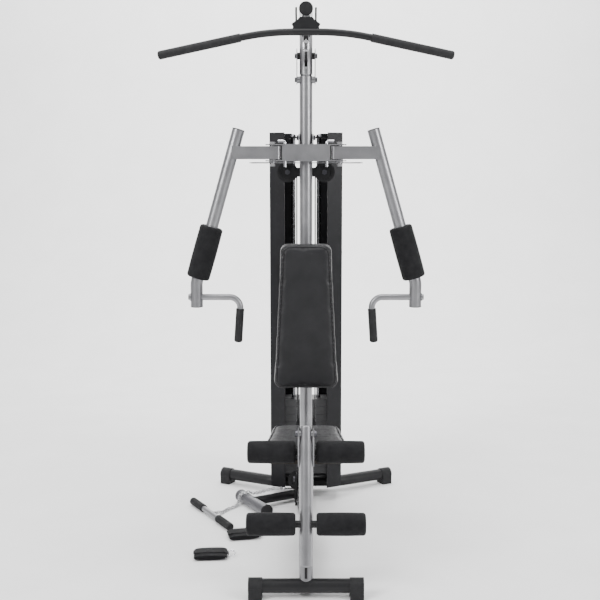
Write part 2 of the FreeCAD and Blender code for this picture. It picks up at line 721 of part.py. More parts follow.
def make_pads():
    save("seat_pad", seat_outline(0, SEAT_BOARD_Z + BOARD_THICK).extrude(Z_AXIS * SEAT_PAD_THICK))
    save("backrest_pad", back_outline(0, BACK_FACE_Y).extrude(Y_AXIS * BACK_PAD_THICK))
    save("pad_boards", seat_board(), back_board())


# ---------------------------------------------------------------- leg developer

def make_leg_lever():
    """The lever's tube with its pivot bush and the eye where its cable ends."""
    along = (LEVER_TOP - LEVER_FOOT).normalize()
    lever = rod(LEVER_FOOT, LEVER_TOP, LEVER_R)
    lever = lever.makeFillet(6.0, [e for e in lever.Edges if e.Closed])
    lever = lever.cut(rod(LEVER_FOOT + along * 4, LEVER_TOP - along * 4, LEVER_R - TUBE_WALL))
    bush = ring(LEVER_PIVOT, X_AXIS, 11.0, PULLEY_BORE, 2 * EAR_X - 1)
    eye_start = V(0, LEVER_FOOT.y + 26, LEVER_CABLE_Z)
    eye = ring(eye_start + V(0, 4, 0), X_AXIS, 8.0, 4.0, 5.0)
    lever = fused(lever, bush, eye)
    lever = lever.cut(rod(LEVER_PIVOT - X_AXIS * 40, LEVER_PIVOT + X_AXIS * 40, PULLEY_BORE))
    lever = lever.cut(rod(LOWER_ROLLER - X_AXIS * 40, LOWER_ROLLER + X_AXIS * 40, AXLE_R))
    save("leg_lever", largest(lever))


def roller_axle(centre):
    half = ROLLER_INNER + ROLLER_LENGTH - 4
    return rod(centre - X_AXIS * half, centre + X_AXIS * half, AXLE_R)


def rollers(centre):
    """The two foam rollers of one axle."""
    start = centre + X_AXIS * ROLLER_INNER
    foam = rod(start, start + X_AXIS * ROLLER_LENGTH, ROLLER_R)
    foam = foam.makeFillet(9.0, [e for e in foam.Edges if e.Closed])
    bore = rod(start - X_AXIS, start + X_AXIS * (ROLLER_LENGTH - 3.5), AXLE_R + ROLLER_GAP)
    return both_sides(foam.cut(bore))


# ---------------------------------------------------------------- press frame and arms

def make_press_frame():
    """The cross box between the arms, its pivot ears and the two leaves up to the mast's hinge."""
    half_x, half_y, half_z = PRESS_BOX
    wall = 3.0
    outer = block((-half_x, half_x), (PRESS_Y - half_y, PRESS_Y + half_y),
                  (PRESS_Z - half_z, PRESS_Z + half_z))
    inner = block((-half_x, half_x), (PRESS_Y - half_y + wall, PRESS_Y + half_y - wall),
                  (PRESS_Z - half_z + wall, PRESS_Z + half_z - wall))
    pieces = [outer.cut(inner)]
    for x0, x1 in ((-EAR_REACH, -half_x + 4), (half_x - 4, EAR_REACH)):
        for z in (PRESS_Z - half_z, PRESS_Z + half_z - 4):
            leaf = block((x0, x1), (PRESS_Y - 34, PRESS_Y + 34), (z, z + 4))
            leaf = leaf.makeFillet(14.0, [e for e in leaf.Edges if abs(e.tangentAt(0).z) > 0.9
                                          and abs(abs(e.BoundBox.XMax) - EAR_REACH) < 0.1])
            pieces.append(leaf)
    ear_outline = [(PRESS_Y + half_y - 1, PRESS_Z - half_z), (PRESS_Y + half_y - 1, PRESS_Z + half_z),
                   (MAST_Y - 18, HINGE_Z + 14), (MAST_Y + 10, HINGE_Z + 14), (MAST_Y + 18, HINGE_Z),
                   (MAST_Y + 10, HINGE_Z - 14)]
    for x in (-TUBE_R - 4.5, TUBE_R + 0.5):
        pieces.append(plate([V(x, y, z) for y, z in ear_outline], LEAF_THICK, X_AXIS))
    frame = fused(*pieces)
    frame = frame.cut(rod(V(-60, MAST_Y, HINGE_Z), V(60, MAST_Y, HINGE_Z), PULLEY_BORE))
    for side in (-1, 1):
        top = V(side * ARM_PIVOT_X, PRESS_Y, PRESS_Z + 60)
        bottom = V(side * ARM_PIVOT_X, PRESS_Y, PRESS_Z)
        frame = frame.cut(rod(bottom, top, AXLE_BOLT_R))
        frame = frame.cut(rod(V(bottom.x, bottom.y, CAM_Z[0]), bottom, 13.5))
        pin_low = V(side * LOCK_PIN_X, PRESS_Y, PRESS_Z - 60)
        frame = frame.cut(rod(pin_low, pin_low + Z_AXIS * 120, LOCK_PIN_R + 0.5))
    save("press_frame", frame)


def left_arm():
    """The left arm: pivot box and neck, sloping tube and the straight tube at its foot, all welded."""
    z0, z1 = PRESS_Z - ARM_HALF, PRESS_Z + ARM_HALF
    y0, y1 = PRESS_Y - ARM_HALF, PRESS_Y + ARM_HALF
    arm_x_at_box = ARM_TOP.x + (ARM_TOP.z - PRESS_Z) / (ARM_TOP.z - ARM_ELBOW.z) * (ARM_ELBOW.x - ARM_TOP.x)
    box = block((arm_x_at_box, -ARM_INNER_X), (y0, y1), (z0, z1))
    box = box.makeFillet(12.0, [e for e in box.Edges if abs(e.tangentAt(0).z) > 0.9
                                and e.BoundBox.XMin > -ARM_INNER_X - 1])
    hollow = block((arm_x_at_box, -ARM_INNER_X - 4), (y0 + 3, y1 - 3), (z0 + 3, z1 - 3))
    boss = rod(V(-ARM_PIVOT_X, PRESS_Y, z0 + 3), V(-ARM_PIVOT_X, PRESS_Y, z1 - 3), NECK_R)
    route = [ARM_TOP, ARM_ELBOW, ARM_FOOT]
    slope = swept(route, [ARM_BEND_R], ARM_TUBE_R)
    slope_bore = swept(route, [ARM_BEND_R], ARM_TUBE_R - TUBE_WALL)
    box = box.cut(hollow).fuse(boss).cut(slope)
    arm = fused(slope.cut(slope_bore), box, left_neck())
    low = V(-ARM_PIVOT_X, PRESS_Y, CAM_Z[0] - 20)
    arm = arm.cut(rod(low, low + Z_AXIS * 120, PULLEY_BORE))
    handle = rod(V(-500, PRESS_Y, HANDLE_Z), V(-380, PRESS_Y, HANDLE_Z), HANDLE_R)
    return largest(arm.cut(handle))


def left_neck():
    """The round neck under the pivot box, which the cam is welded to."""
    foot = V(-ARM_PIVOT_X, PRESS_Y, CAM_Z[0])
    return rod(foot, V(foot.x, foot.y, PRESS_Z - ARM_HALF + 1), NECK_R)


def left_cam():
    """The flat sector that winds the fly cable on its rim as the arm swings."""
    foot = V(-ARM_PIVOT_X, PRESS_Y, CAM_Z[0])
    cam = Part.makeCylinder(CAM_R, CAM_Z[1] - CAM_Z[0], foot, Z_AXIS, CAM_SWEEP[1] - CAM_SWEEP[0])
    cam.rotate(foot, Z_AXIS, CAM_SWEEP[0])
    return largest(cam.cut(left_neck()))


def left_foam():
    slope = (ARM_ELBOW - ARM_TOP).normalize()
    top = ARM_TOP + slope * ((ARM_TOP.z - FOAM_Z[1]) / -slope.z)
    low = ARM_TOP + slope * ((ARM_TOP.z - FOAM_Z[0]) / -slope.z)
    foam = rod(top, low, FOAM_R)
    foam = foam.makeFillet(10.0, [e for e in foam.Edges if e.Closed])
    return foam.cut(swept([ARM_TOP, ARM_ELBOW, ARM_FOOT], [ARM_BEND_R], ARM_TUBE_R))


def handle_points():
    return [V(HANDLE_OUTER_X, PRESS_Y, HANDLE_Z), HANDLE_BEND, HANDLE_FOOT]


def left_handle():
    bar = swept(handle_points(), [HANDLE_BEND_R], HANDLE_R)
    end = handle_points()[0]
    washer = rod(end, end - X_AXIS * 2, HANDLE_R + 3)
    nut = hex_head(end - X_AXIS * 2, X_AXIS * -1, HANDLE_R - 1, 6.0)
    return fused(bar, washer, nut)


def left_grip():
    along = (HANDLE_FOOT - HANDLE_BEND).normalize()
    start = HANDLE_FOOT - along * GRIP_LENGTH
    grip = rod(start, HANDLE_FOOT + along * 5, GRIP_R)
    grip = grip.makeFillet(4.0, [e for e in grip.Edges if e.Closed])
    return grip.cut(rod(start - along * 5, HANDLE_FOOT, HANDLE_R))


def make_arms():
    """Both arms: each with its cam, forearm foam, handle and grip."""
    pieces = {"arm": left_arm(), "cam": left_cam(), "arm_foam": left_foam(), "handle": left_handle(),
              "handle_grip": left_grip()}
    for name, solid in pieces.items():
        save("left_" + name, solid)
        save("right_" + name, mirrored(solid))


def lock_pin(side):
    """A lock pin: a rod down through the press frame, with its bent top lying outwards."""
    x = side * LOCK_PIN_X
    top = PRESS_Z + PRESS_BOX[2] + 12
    points = [V(x, PRESS_Y, PRESS_Z - 55), V(x, PRESS_Y, top), V(x + side * 28, PRESS_Y, top)]
    return swept(points, [8.0], LOCK_PIN_R)


# ---------------------------------------------------------------- pulleys and their blocks

def top_front_pulley():
    return V(0, LINK_Y - 2 * WRAP_R, TOP_FRONT_Z)


def top_rear_pulley():
    return V(0, STACK_Y - WRAP_R, TOP_REAR_Z)


def pulley_places():
    fly_x = 2 * WRAP_R
    return {
        "boom_pulley": (BOOM_PULLEY, X_AXIS),
        "top_front_pulley": (top_front_pulley(), X_AXIS),
        "top_rear_pulley": (top_rear_pulley(), X_AXIS),
        "left_fly_pulley": (V(-fly_x, FLY_PLANE_Y, FLY_PULLEY_Z), Y_AXIS),
        "right_fly_pulley": (V(fly_x, FLY_PLANE_Y, FLY_PULLEY_Z), Y_AXIS),
        "floating_pulley": (V(0, FLY_PLANE_Y, FLOATING_Z), Y_AXIS),
        "stack_block_pulley": (V(0, LINK_Y, STACK_BLOCK_Z), X_AXIS),
        "low_pulley": (LOW_PULLEY, Y_AXIS),
    }


def make_pulleys():
    for name, (centre, axis) in pulley_places().items():
        save(name, pulley(centre, axis))
    first, second = base_axle_points()
    beside = second + X_AXIS * LEVER_CABLE_X
    save("base_pulleys", pulley(first, X_AXIS), pulley(second, X_AXIS), pulley(beside, X_AXIS))


def pulley_block(centre, axis, tail_points):
    """A floating block: two plates beside a pulley, its bolt, and a bar below with the cable eyes."""
    across = Z_AXIS.cross(axis)
    pieces = []
    for side in (-1, 1):
        middle = centre + axis * side * (PULLEY_HALF + 3)
        corner = middle - across * 14 - axis * 1.5 - Z_AXIS * 70
        leaf_points = [corner, corner + across * 28, corner + across * 28 + Z_AXIS * 84, corner + Z_AXIS * 84]
        pieces.append(plate(leaf_points, 3.0, axis))
    span = PULLEY_HALF + 4.5
    pieces.append(rod(centre - axis * (span + 6), centre + axis * (span + 6), AXLE_BOLT_R))
    for side in (-1, 1):
        pieces.append(rod(centre + axis * side * span, centre + axis * side * (span + 7), 10.0))
    bar_z = centre.z - BLOCK_BAR_DROP
    low = V(centre.x, centre.y, bar_z) - axis * (PULLEY_HALF + 4) - across * 12
    bar_edge = axis * (2 * PULLEY_HALF + 8)
    pieces.append(plate([low, low + bar_edge, low + bar_edge + across * 24, low + across * 24], 8.0, Z_AXIS * -1))
    for tail in tail_points:
        arm_start = V(centre.x, centre.y, bar_z - 4)
        arm_end = V(tail.x, tail.y, bar_z - 4)
        if (arm_end - arm_start).Length > 1:
            pieces.append(rod(arm_start, arm_end, 4.0))
        pieces.append(rod(arm_end - Z_AXIS * 14, arm_end, 6.0))
    return fused(*pieces)


def make_blocks():
    places = pulley_places()
    centre, axis = places["floating_pulley"]
    save("floating_block", pulley_block(centre, axis, [centre]))
    centre, axis = places["stack_block_pulley"]
    tails = [V(0, LINK_Y, 0), V(LEVER_CABLE_X, LINK_Y, 0), V(0, LOW_PULLEY.y, 0)]
    save("stack_block", pulley_block(centre, axis, tails))


# ---------------------------------------------------------------- cables

def touching_run(wheel_a, wheel_b, side_a, side_b):
    """The straight run between two wheels in the machine's middle plane.

    A side is +1 where the run passes above a wheel when it heads back, and -1 where it passes below.
    """
    between = wheel_b - wheel_a
    lean = math.asin((side_a - side_b) * WRAP_R / between.Length)
    ahead = V(between).normalize()
    outward = X_AXIS.cross(ahead) * math.cos(lean) + ahead * math.sin(lean)
    return wheel_a + outward * side_a * WRAP_R, wheel_b + outward * side_b * WRAP_R


def high_cable_slope():
    return touching_run(BOOM_PULLEY, top_front_pulley(), 1, 1)


def where_y(run, y):
    """The point of a straight run's line at a given Y."""
    start, end = run
    return start + (end - start) * ((y - start.y) / (end.y - start.y))


def where_z(run, z):
    """The point of a straight run's line at a given Z."""
    start, end = run
    return start + (end - start) * ((z - start.z) / (end.z - start.z))


def cable_eye(centre, axis):
    """The small ring at a cable's end that a snap hook passes through."""
    return ring(centre, axis, EYE_R, EYE_HOLE_R, EYE_THICK)


def lat_hook_eye():
    return V(0, BOOM_PULLEY.y - WRAP_R, LAT_EYE_Z)


def make_high_cable():
    """From the lat bar's hook over the boom and down, round the stack block and up to the weights."""
    slope = high_cable_slope()
    rise = touching_run(V(0, LINK_Y, STACK_BLOCK_Z), top_rear_pulley(), -1, 1)
    down_y = top_front_pulley().y + WRAP_R
    turn_z = STACK_BLOCK_Z - WRAP_R
    top_z = TOP_REAR_Z + WRAP_R
    eye = lat_hook_eye()
    start = eye + Z_AXIS * (EYE_R - 0.5)
    points = [start, where_y(slope, eye.y), where_y(slope, down_y), V(0, down_y, turn_z),
              where_z(rise, turn_z), where_z(rise, top_z), V(0, STACK_Y, top_z), V(0, STACK_Y, stem_top_z())]
    cable = swept(points, [WRAP_R] * 6, CABLE_R)
    save("high_cable", fused(cable, cable_eye(eye, X_AXIS)))


def fly_cable():
    """From one cam's rim over its pulley, round the floating pulley and up to the other cam."""
    reach = CAM_R + CABLE_R + 0.3
    z = (CAM_Z[0] + CAM_Z[1]) / 2
    pivot = V(-ARM_PIVOT_X, PRESS_Y, z)
    turn = math.radians(50)
    anchor = pivot + V(-math.sin(turn), math.cos(turn), 0) * reach
    corner = pivot + V(-math.tan(turn / 2) * reach, reach, 0)
    left = [anchor, corner, V(-WRAP_R, FLY_PLANE_Y, z), V(-WRAP_R, FLY_PLANE_Y, FLOATING_Z - WRAP_R)]
    right = [V(-p.x, p.y, p.z) for p in reversed(left)]
    return swept(left + right, [reach, WRAP_R, WRAP_R, WRAP_R, WRAP_R, reach], CABLE_R)


def row_hook_eye():
    """Where the row cable ends, beside the low pulley."""
    return V(LOW_PULLEY.x - 71, LOW_PULLEY.y, LOW_PULLEY.z - WRAP_R)


def low_cables():
    """The link under the floating block, the lever's cable and the row cable."""
    link_low = BASE_PULLEY_Z - WRAP_R
    eye_z = STACK_BLOCK_Z - BLOCK_EYE_DROP
    link = swept([V(0, FLY_PLANE_Y, FLOATING_Z - BLOCK_EYE_DROP), V(0, FLY_PLANE_Y, link_low),
                  V(0, LINK_Y, link_low), V(0, LINK_Y, eye_z)], [WRAP_R, WRAP_R], CABLE_R)
    lever_start = V(0, LEVER_FOOT.y + 38.5, LEVER_CABLE_Z)
    lever = swept([lever_start, V(LEVER_CABLE_X, MAST_Y - 60, link_low), V(LEVER_CABLE_X, LINK_Y, link_low),
                   V(LEVER_CABLE_X, LINK_Y, eye_z)], [400.0, WRAP_R], CABLE_R)
    eye = row_hook_eye()
    row = swept([eye + X_AXIS * (EYE_R - 0.5), V(0, LOW_PULLEY.y, eye.z), V(0, LOW_PULLEY.y, eye_z)],
                [WRAP_R], CABLE_R)
    stop = rod(eye + X_AXIS * (EYE_R - 0.5), eye + X_AXIS * (EYE_R + 12), 6.0)
    row_cable = fused(row, stop, cable_eye(eye, Y_AXIS))
    return [link, lever, row_cable]


# ---------------------------------------------------------------- fasteners

def axle_bolt(start, end):
    return hex_bolt(start, end, AXLE_BOLT_R, AXLE_HEAD_R, AXLE_HEAD_LENGTH)


def make_frame_bolts():
    """Every bolt of the frame: the pulleys' axles, the mast head, the lever's pivot and the hinge."""
    bolts = []
    places = pulley_places()
    reaches = {"boom_pulley": 5.5, "top_front_pulley": 6.5, "top_rear_pulley": 6.5,
               "left_fly_pulley": FLY_BAR_GAP + FLY_BAR_THICK,
               "right_fly_pulley": FLY_BAR_GAP + FLY_BAR_THICK}
    for name, beyond in reaches.items():
        centre, axis = places[name]
        side = PULLEY_HALF + beyond
        bolts.append(axle_bolt(centre - axis * side, centre + axis * side))
    low_side = PULLEY_HALF + 5.5
    bolts.append(axle_bolt(LOW_PULLEY - Y_AXIS * low_side, LOW_PULLEY + Y_AXIS * low_side))
    first, second = base_axle_points()
    bolts.append(axle_bolt(first - X_AXIS * low_side, first + X_AXIS * low_side))
    outer = second + X_AXIS * (LEVER_CABLE_X - PULLEY_HALF - 5.5)
    bolts.append(axle_bolt(outer, second + X_AXIS * low_side))
    for z in HEAD_BOLTS_Z:
        reach = HEAD_PLATE_X + HEAD_PLATE_THICK
        bolts.append(hex_bolt(V(-reach, MAST_Y, z), V(reach, MAST_Y, z), HEAD_BOLT_R, 9.5, AXLE_HEAD_LENGTH))
    reach = EAR_X + EAR_THICK
    bolts.append(hex_bolt(LEVER_PIVOT - X_AXIS * reach, LEVER_PIVOT + X_AXIS * reach, AXLE_BOLT_R, 11.0, 8.0))
    hinge = V(0, MAST_Y, HINGE_Z)
    reach = TUBE_R + 5.0
    bolts.append(hex_bolt(hinge - X_AXIS * reach, hinge + X_AXIS * reach, AXLE_BOLT_R, 10.0, 7.0))
    save("frame_bolts", *bolts)


def make_arm_pivots():
    """The two long bolts that the arms turn on."""
    bolts = []
    for side in (-1, 1):
        low = V(side * ARM_PIVOT_X, PRESS_Y, CAM_Z[0] - 3)
        high = V(side * ARM_PIVOT_X, PRESS_Y, PRESS_Z + PRESS_BOX[2])
        bolts.append(hex_bolt(low, high, AXLE_BOLT_R, 11.0, 9.0))
    save("arm_pivot_bolts", *bolts)


# ---------------------------------------------------------------- lat bar and loose accessories

def bar_route():
    """The lat bar's bow: level in the middle and drooping towards both grips."""
    drop = (BAR_HALF - BAR_CORNER_X) * math.tan(BAR_DROOP)
    right = [V(BAR_CORNER_X, BAR_Y, BAR_Z), V(BAR_HALF, BAR_Y, BAR_Z - drop)]
    return [V(-point.x, point.y, point.z) for point in reversed(right)] + right


def grip_on(start, end, bar_r, grip_r):
    """A closed-ended sleeve on the end of a bar."""
    along = (end - start).normalize()
    sleeve = rod(start, end + along * 4, grip_r)
    sleeve = sleeve.makeFillet(3.0, [e for e in sleeve.Edges if e.Closed])
    return sleeve.cut(rod(start - along * 2, end, bar_r))


def make_lat_bar():
    """The bow, the plate welded on its middle and the two rings that hang on the boom's hooks."""
    points = bar_route()
    aim = (HOOK_TIP - HOOK_FOOT).normalize()
    ring_spot = HOOK_FOOT + (HOOK_TIP - HOOK_FOOT) * RING_UP
    web_outline = [(-47, 4), (47, 4), (47, 30), (22, 52), (-22, 52), (-47, 30)]
    web = plate([V(x, BAR_Y - 3, BAR_Z + z) for x, z in web_outline], 6.0, Y_AXIS)
    pieces = [web]
    for side in (-1, 1):
        spot = V(side * ring_spot.x, ring_spot.y, ring_spot.z)
        web = web.cut(Part.makeCylinder(RING_R - 6, 120, spot - aim * 60, aim))
        pieces.append(Part.makeTorus(RING_R - 4.5, 4.5, spot, aim))
    pieces[0] = web
    save("lat_bar", fused(swept(points, [BAR_BEND_R] * 2, BAR_R), *pieces))
    end = points[-1]
    along = (end - points[-2]).normalize()
    grip_start = points[-2] + along * (BAR_BEND_R * math.tan(BAR_DROOP / 2) + 1)
    save("lat_bar_grips", *both_sides(grip_on(grip_start, end, BAR_R, BAR_GRIP_R)))


def snap_hook(eye, along, across):
    """A closed spring hook of round wire: an oval loop whose near end passes through an eye."""
    half_width = 9.0
    far = eye + along * SNAP_LENGTH
    corners = [eye, eye + across * half_width, far + across * half_width,
               far - across * half_width, eye - across * half_width, eye]
    loop = rounded_route(corners, [7.0] * 4)
    section = Part.Wire(Part.makeCircle(SNAP_WIRE_R, eye, across))
    return loop.makePipeShell([section], True, False)


def chain_link(centre, along, upright):
    """One closed link of round wire; an upright link stands on its edge."""
    side = Z_AXIS.cross(along).normalize()
    if upright:
        side = along.cross(side)
    half = CHAIN_LENGTH / 2 - CHAIN_WIRE_R
    start = centre + side * CHAIN_WIDTH
    corners = [start, start + along * half, centre - side * CHAIN_WIDTH + along * half,
               centre - side * CHAIN_WIDTH - along * half, start - along * half, start]
    loop = rounded_route(corners, [CHAIN_WIDTH * 0.8] * 4)
    section = Part.Wire(Part.makeCircle(CHAIN_WIRE_R, start, along))
    return loop.makePipeShell([section], True, False)


def on_foot_bar(across_share, aim_distance, z):
    """A point given by its place along the foot bar's cross tube and its distance from the axis."""
    spot = FOOT_BAR_CENTRE + foot_bar_across() * across_share + FOOT_BAR_AIM * aim_distance
    return V(spot.x, spot.y, z)


def chain_route():
    """The chain's way from the low hook, over the foot bar and along the floor to the row bar."""
    eye = row_hook_eye()
    start = eye - X_AXIS * (SNAP_LENGTH - 2.6)
    axis_z = FOOT_BAR_CENTRE.z
    clear = TUBE_R + CHAIN_WIDTH + CHAIN_WIRE_R + 1.2
    over = []
    for aim_distance in (18.0, 0.0, -18.0, -29.0):
        z = axis_z + math.sqrt(clear ** 2 - aim_distance ** 2)
        over.append(on_foot_bar(62.0 - aim_distance * 0.4, aim_distance, z))
    down = [on_foot_bar(74.0, -36.0, axis_z - 2), on_foot_bar(71.0, -42.0, CHAIN_FLOOR_Z + 1)]
    bar_eye = row_bar_eye()
    away = V(0.874, 0.486, 0)
    end = bar_eye + away * 6.0
    floor = [V(-316, 944, CHAIN_FLOOR_Z), V(-336, 922, CHAIN_FLOOR_Z), V(-350, 896, CHAIN_FLOOR_Z),
             V(-362, 872, CHAIN_FLOOR_Z + 1)]
    return [start, V(-196, 970, 69)] + over + down + floor + [end + away * 8.0, end]


def make_chain():
    route = Part.BSplineCurve()
    route.interpolate(chain_route())
    longest_pitch = CHAIN_LENGTH - 4 * CHAIN_WIRE_R - 0.6
    count = int(math.ceil(route.length() / longest_pitch))
    count += (count + 1) % 2
    pitch = route.length() / count
    joints = [route.value(route.parameterAtDistance(number * pitch)) for number in range(count + 1)]
    for joint in joints:
        joint.z = max(joint.z, CHAIN_FLOOR_Z)
    links = []
    for number, (start, end) in enumerate(zip(joints, joints[1:])):
        links.append(chain_link((start + end) * 0.5, (end - start).normalize(), number % 2 == 0))
    save("chain", snap_hook(row_hook_eye(), X_AXIS * -1, Y_AXIS), *links)


def row_bar_eye():
    start, end = ROW_BAR
    along = (end - start).normalize()
    return (start + end) * 0.5 - along.cross(Z_AXIS) * 21


def make_row_handle():
    start, end = ROW_BAR
    along = (end - start).normalize()
    eye = ring(row_bar_eye(), Z_AXIS, 11.0, 6.2, 5.0)
    save("row_bar", fused(rod(start, end, BAR_R - 0.5), eye))
    grips = [grip_on(start + along * ROW_GRIP_LENGTH, start, BAR_R - 0.5, GRIP_R),
             grip_on(end - along * ROW_GRIP_LENGTH, end, BAR_R - 0.5, GRIP_R)]
    save("row_bar_grips", *grips)


def foot_bar_across():
    return V(-FOOT_BAR_AIM.y, FOOT_BAR_AIM.x, 0)


def make_foot_bar():
    """A T-shaped foot rest: a stem from the base beam's side and a cross tube lying on the floor."""
    across = foot_bar_across()
    left_end = FOOT_BAR_CENTRE + across * FOOT_BAR_HALF
    right_end = FOOT_BAR_CENTRE - across * FOOT_BAR_HALF
    cross = tube(right_end, left_end, TUBE_R)
    solid_cross = rod(right_end, left_end, TUBE_R)
    reach = (-TUBE_R - FOOT_BAR_CENTRE.x) / FOOT_BAR_AIM.x + 20
    start = V(FOOT_BAR_CENTRE.x, FOOT_BAR_CENTRE.y, FLOOR_TUBE_Z - 8)
    stem = tube(start, start + FOOT_BAR_AIM * reach, 19.0)
    stem = stem.cut(solid_cross).cut(block((-TUBE_R, TUBE_R), (900, 1200), (0, FLOOR_TUBE_TOP)))
    save("foot_bar", fused(cross, largest(stem)))


def ankle_strap(centre, turn):
    """A padded cuff rolled flat, with its ring standing out at one end."""
    length, width, height = STRAP_SIZE
    cuff = Part.makeBox(length, width, height, V(-length / 2, -width / 2, 0))
    cuff = cuff.makeFillet(24.0, [e for e in cuff.Edges if abs(e.tangentAt(0).z) > 0.9])
    loop = Part.makeTorus(15.0, 2.5, V(length / 2 + 14, 4, height / 2), V(0, 0.35, 1))
    tab = Part.makeBox(8.0, 20.0, 4.0, V(length / 2 - 1, -6, height / 2 - 2))
    cuff = fused(cuff, tab).cut(loop.cut(cuff))
    cuff = largest(cuff)
    pieces = [cuff, largest(loop.cut(cuff))]
    for piece in pieces:
        piece.rotate(V(0, 0, 0), Z_AXIS, turn)
        piece.translate(centre)
    return pieces


# ---------------------------------------------------------------- whole machine

make_stabilizers()
make_end_caps()
save("beams", base_beam(), seat_beam())
make_front_post()
save("mast", mast(), *head_plates())
make_boom()
make_top_frame()
make_guide_rods()
make_shroud()
make_weights()
make_selector_pin()
make_pads()

make_leg_lever()
save("upper_roller_axle", roller_axle(UPPER_ROLLER))
save("lower_roller_axle", roller_axle(LOWER_ROLLER))
save("upper_rollers", *rollers(UPPER_ROLLER))
save("lower_rollers", *rollers(LOWER_ROLLER))

make_press_frame()
make_arms()
save("left_lock_pin", lock_pin(-1))
save("right_lock_pin", lock_pin(1))
make_arm_pivots()

make_pulleys()
make_blocks()
make_high_cable()
save("fly_cable", fly_cable())
save("low_cables", *low_cables())
make_frame_bolts()

make_lat_bar()
save("lat_snap_hook", snap_hook(lat_hook_eye(), Z_AXIS * -1, X_AXIS))
make_chain()
make_row_handle()
make_foot_bar()
for strap_name, (strap_centre, strap_turn) in STRAPS.items():
    save(strap_name, *ankle_strap(strap_centre, strap_turn))
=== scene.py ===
import math

import bmesh
import bpy
from mathutils import Matrix, Vector
from mathutils.bvhtree import BVHTree


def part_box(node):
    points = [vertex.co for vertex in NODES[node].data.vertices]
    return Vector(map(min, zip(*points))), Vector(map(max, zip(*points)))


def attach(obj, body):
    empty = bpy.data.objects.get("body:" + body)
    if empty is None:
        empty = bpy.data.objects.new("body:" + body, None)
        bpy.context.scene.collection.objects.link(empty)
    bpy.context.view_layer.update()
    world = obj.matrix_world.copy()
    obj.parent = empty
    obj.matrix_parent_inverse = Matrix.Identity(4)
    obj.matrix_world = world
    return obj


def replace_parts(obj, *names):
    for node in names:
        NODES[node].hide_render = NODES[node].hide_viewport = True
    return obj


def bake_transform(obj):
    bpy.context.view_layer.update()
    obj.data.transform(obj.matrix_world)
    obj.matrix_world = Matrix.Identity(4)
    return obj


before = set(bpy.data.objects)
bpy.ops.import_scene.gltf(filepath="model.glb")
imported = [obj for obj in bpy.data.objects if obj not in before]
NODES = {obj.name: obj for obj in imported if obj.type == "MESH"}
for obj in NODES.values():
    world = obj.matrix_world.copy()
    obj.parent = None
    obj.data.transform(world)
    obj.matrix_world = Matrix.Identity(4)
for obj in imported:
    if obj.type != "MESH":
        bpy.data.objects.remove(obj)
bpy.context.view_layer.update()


def corners_of(node_name):
    """The lowest and the highest corner of a node at rest."""
    return tuple(Vector(corner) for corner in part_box(node_name))


def middle_of(node_name):
    low, high = corners_of(node_name)
    return (low + high) / 2


UP = Vector((0, 0, 1))
BACK = Vector((0, 1, 0))
RIGHT = Vector((1, 0, 0))
SIDES = (("left", -1), ("right", 1))

MAST_Y = 0.067
FRAME_TUBE_R = 0.025
BOOM_TUBE_Z = corners_of("boom")[1].z - FRAME_TUBE_R
BOOM_STRAIGHT_Y = -0.15
STACK_Y = middle_of("top_plate").y
GUIDE_ROD_X = 0.055
STEM_R = 0.0112
FOOT_BAR_MIDDLE = Vector((-0.227, 0.284))
FOOT_STEM_WAY = Vector((0.866, 0.5))

# The right arm's centre line; the left arm mirrors it.
PRESS_Y = middle_of("left_arm").y
ARM_TOP = Vector((0.262, PRESS_Y, 1.618))
ARM_ELBOW = Vector((0.433, PRESS_Y, 1.022))
ARM_FOOT = Vector((0.433, PRESS_Y, 0.927))
ARM_PLUG_R = 0.0244
ARM_FOAM_Z = (1.040, 1.243)
HANDLE_BEND = Vector((0.258, PRESS_Y, 0.964))
HANDLE_FOOT = Vector((0.270, PRESS_Y, 0.788))
ARM_PIVOT_X = 0.131
CAM_RIM_R = 0.1098

ROW_ENDS = (Vector((-0.497, 0.344, 0.017)), Vector((-0.309, 0.006, 0.017)))
LAT_CORNER = Vector((0.140, -0.286, 1.953))
LAT_END = Vector((0.525, -0.286, 1.8712))

CABLE_R = 0.0025
WRAP_R = 0.037
BOOM_WHEEL = middle_of("boom_pulley")
TOP_FRONT_WHEEL = middle_of("top_front_pulley")
TOP_REAR_WHEEL = middle_of("top_rear_pulley")
STACK_WHEEL = middle_of("stack_block_pulley")
LOW_WHEEL = middle_of("low_pulley")
FLOATING_WHEEL = middle_of("floating_pulley")
BASE_WHEEL_Z = middle_of("base_pulleys").z
BLOCK_DROP = 0.080
LEVER_CABLE_OUT = 0.033
LEVER_CABLE_EYE = Vector((0, -0.646, 0.150))
LEVER_CABLE_BEND_Y = 0.007
LEVER_CABLE_BEND_R = 0.4
LAT_EYE_Z = 1.926
ROW_EYE_OUT = 0.071
EYE_R = 0.0054
EYE_WIRE_R = 0.002
EYE_TO_CORD = 0.0069

PAD_VOXEL = 0.0055
PAD_PRESSURE = 4.0
PAD_FRAMES = 20
WELT_SPACING = 0.006


# ---------------------------------------------------------------- materials

def link(tree, out_socket, in_socket):
    tree.links.new(out_socket, in_socket)


def noise(tree, coords, scale, detail=4.0, roughness=0.55):
    node = tree.nodes.new("ShaderNodeTexNoise")
    node.inputs["Scale"].default_value = scale
    node.inputs["Detail"].default_value = detail
    node.inputs["Roughness"].default_value = roughness
    link(tree, coords, node.inputs["Vector"])
    return node.outputs["Fac"]


def cells(tree, coords, scale):
    node = tree.nodes.new("ShaderNodeTexVoronoi")
    node.feature = "F1"
    node.inputs["Scale"].default_value = scale
    link(tree, coords, node.inputs["Vector"])
    return node.outputs["Distance"]


def waves(tree, coords, scale, direction, distortion=0.0):
    node = tree.nodes.new("ShaderNodeTexWave")
    node.bands_direction = direction
    node.inputs["Scale"].default_value = scale
    node.inputs["Distortion"].default_value = distortion
    link(tree, coords, node.inputs["Vector"])
    return node.outputs["Fac"]


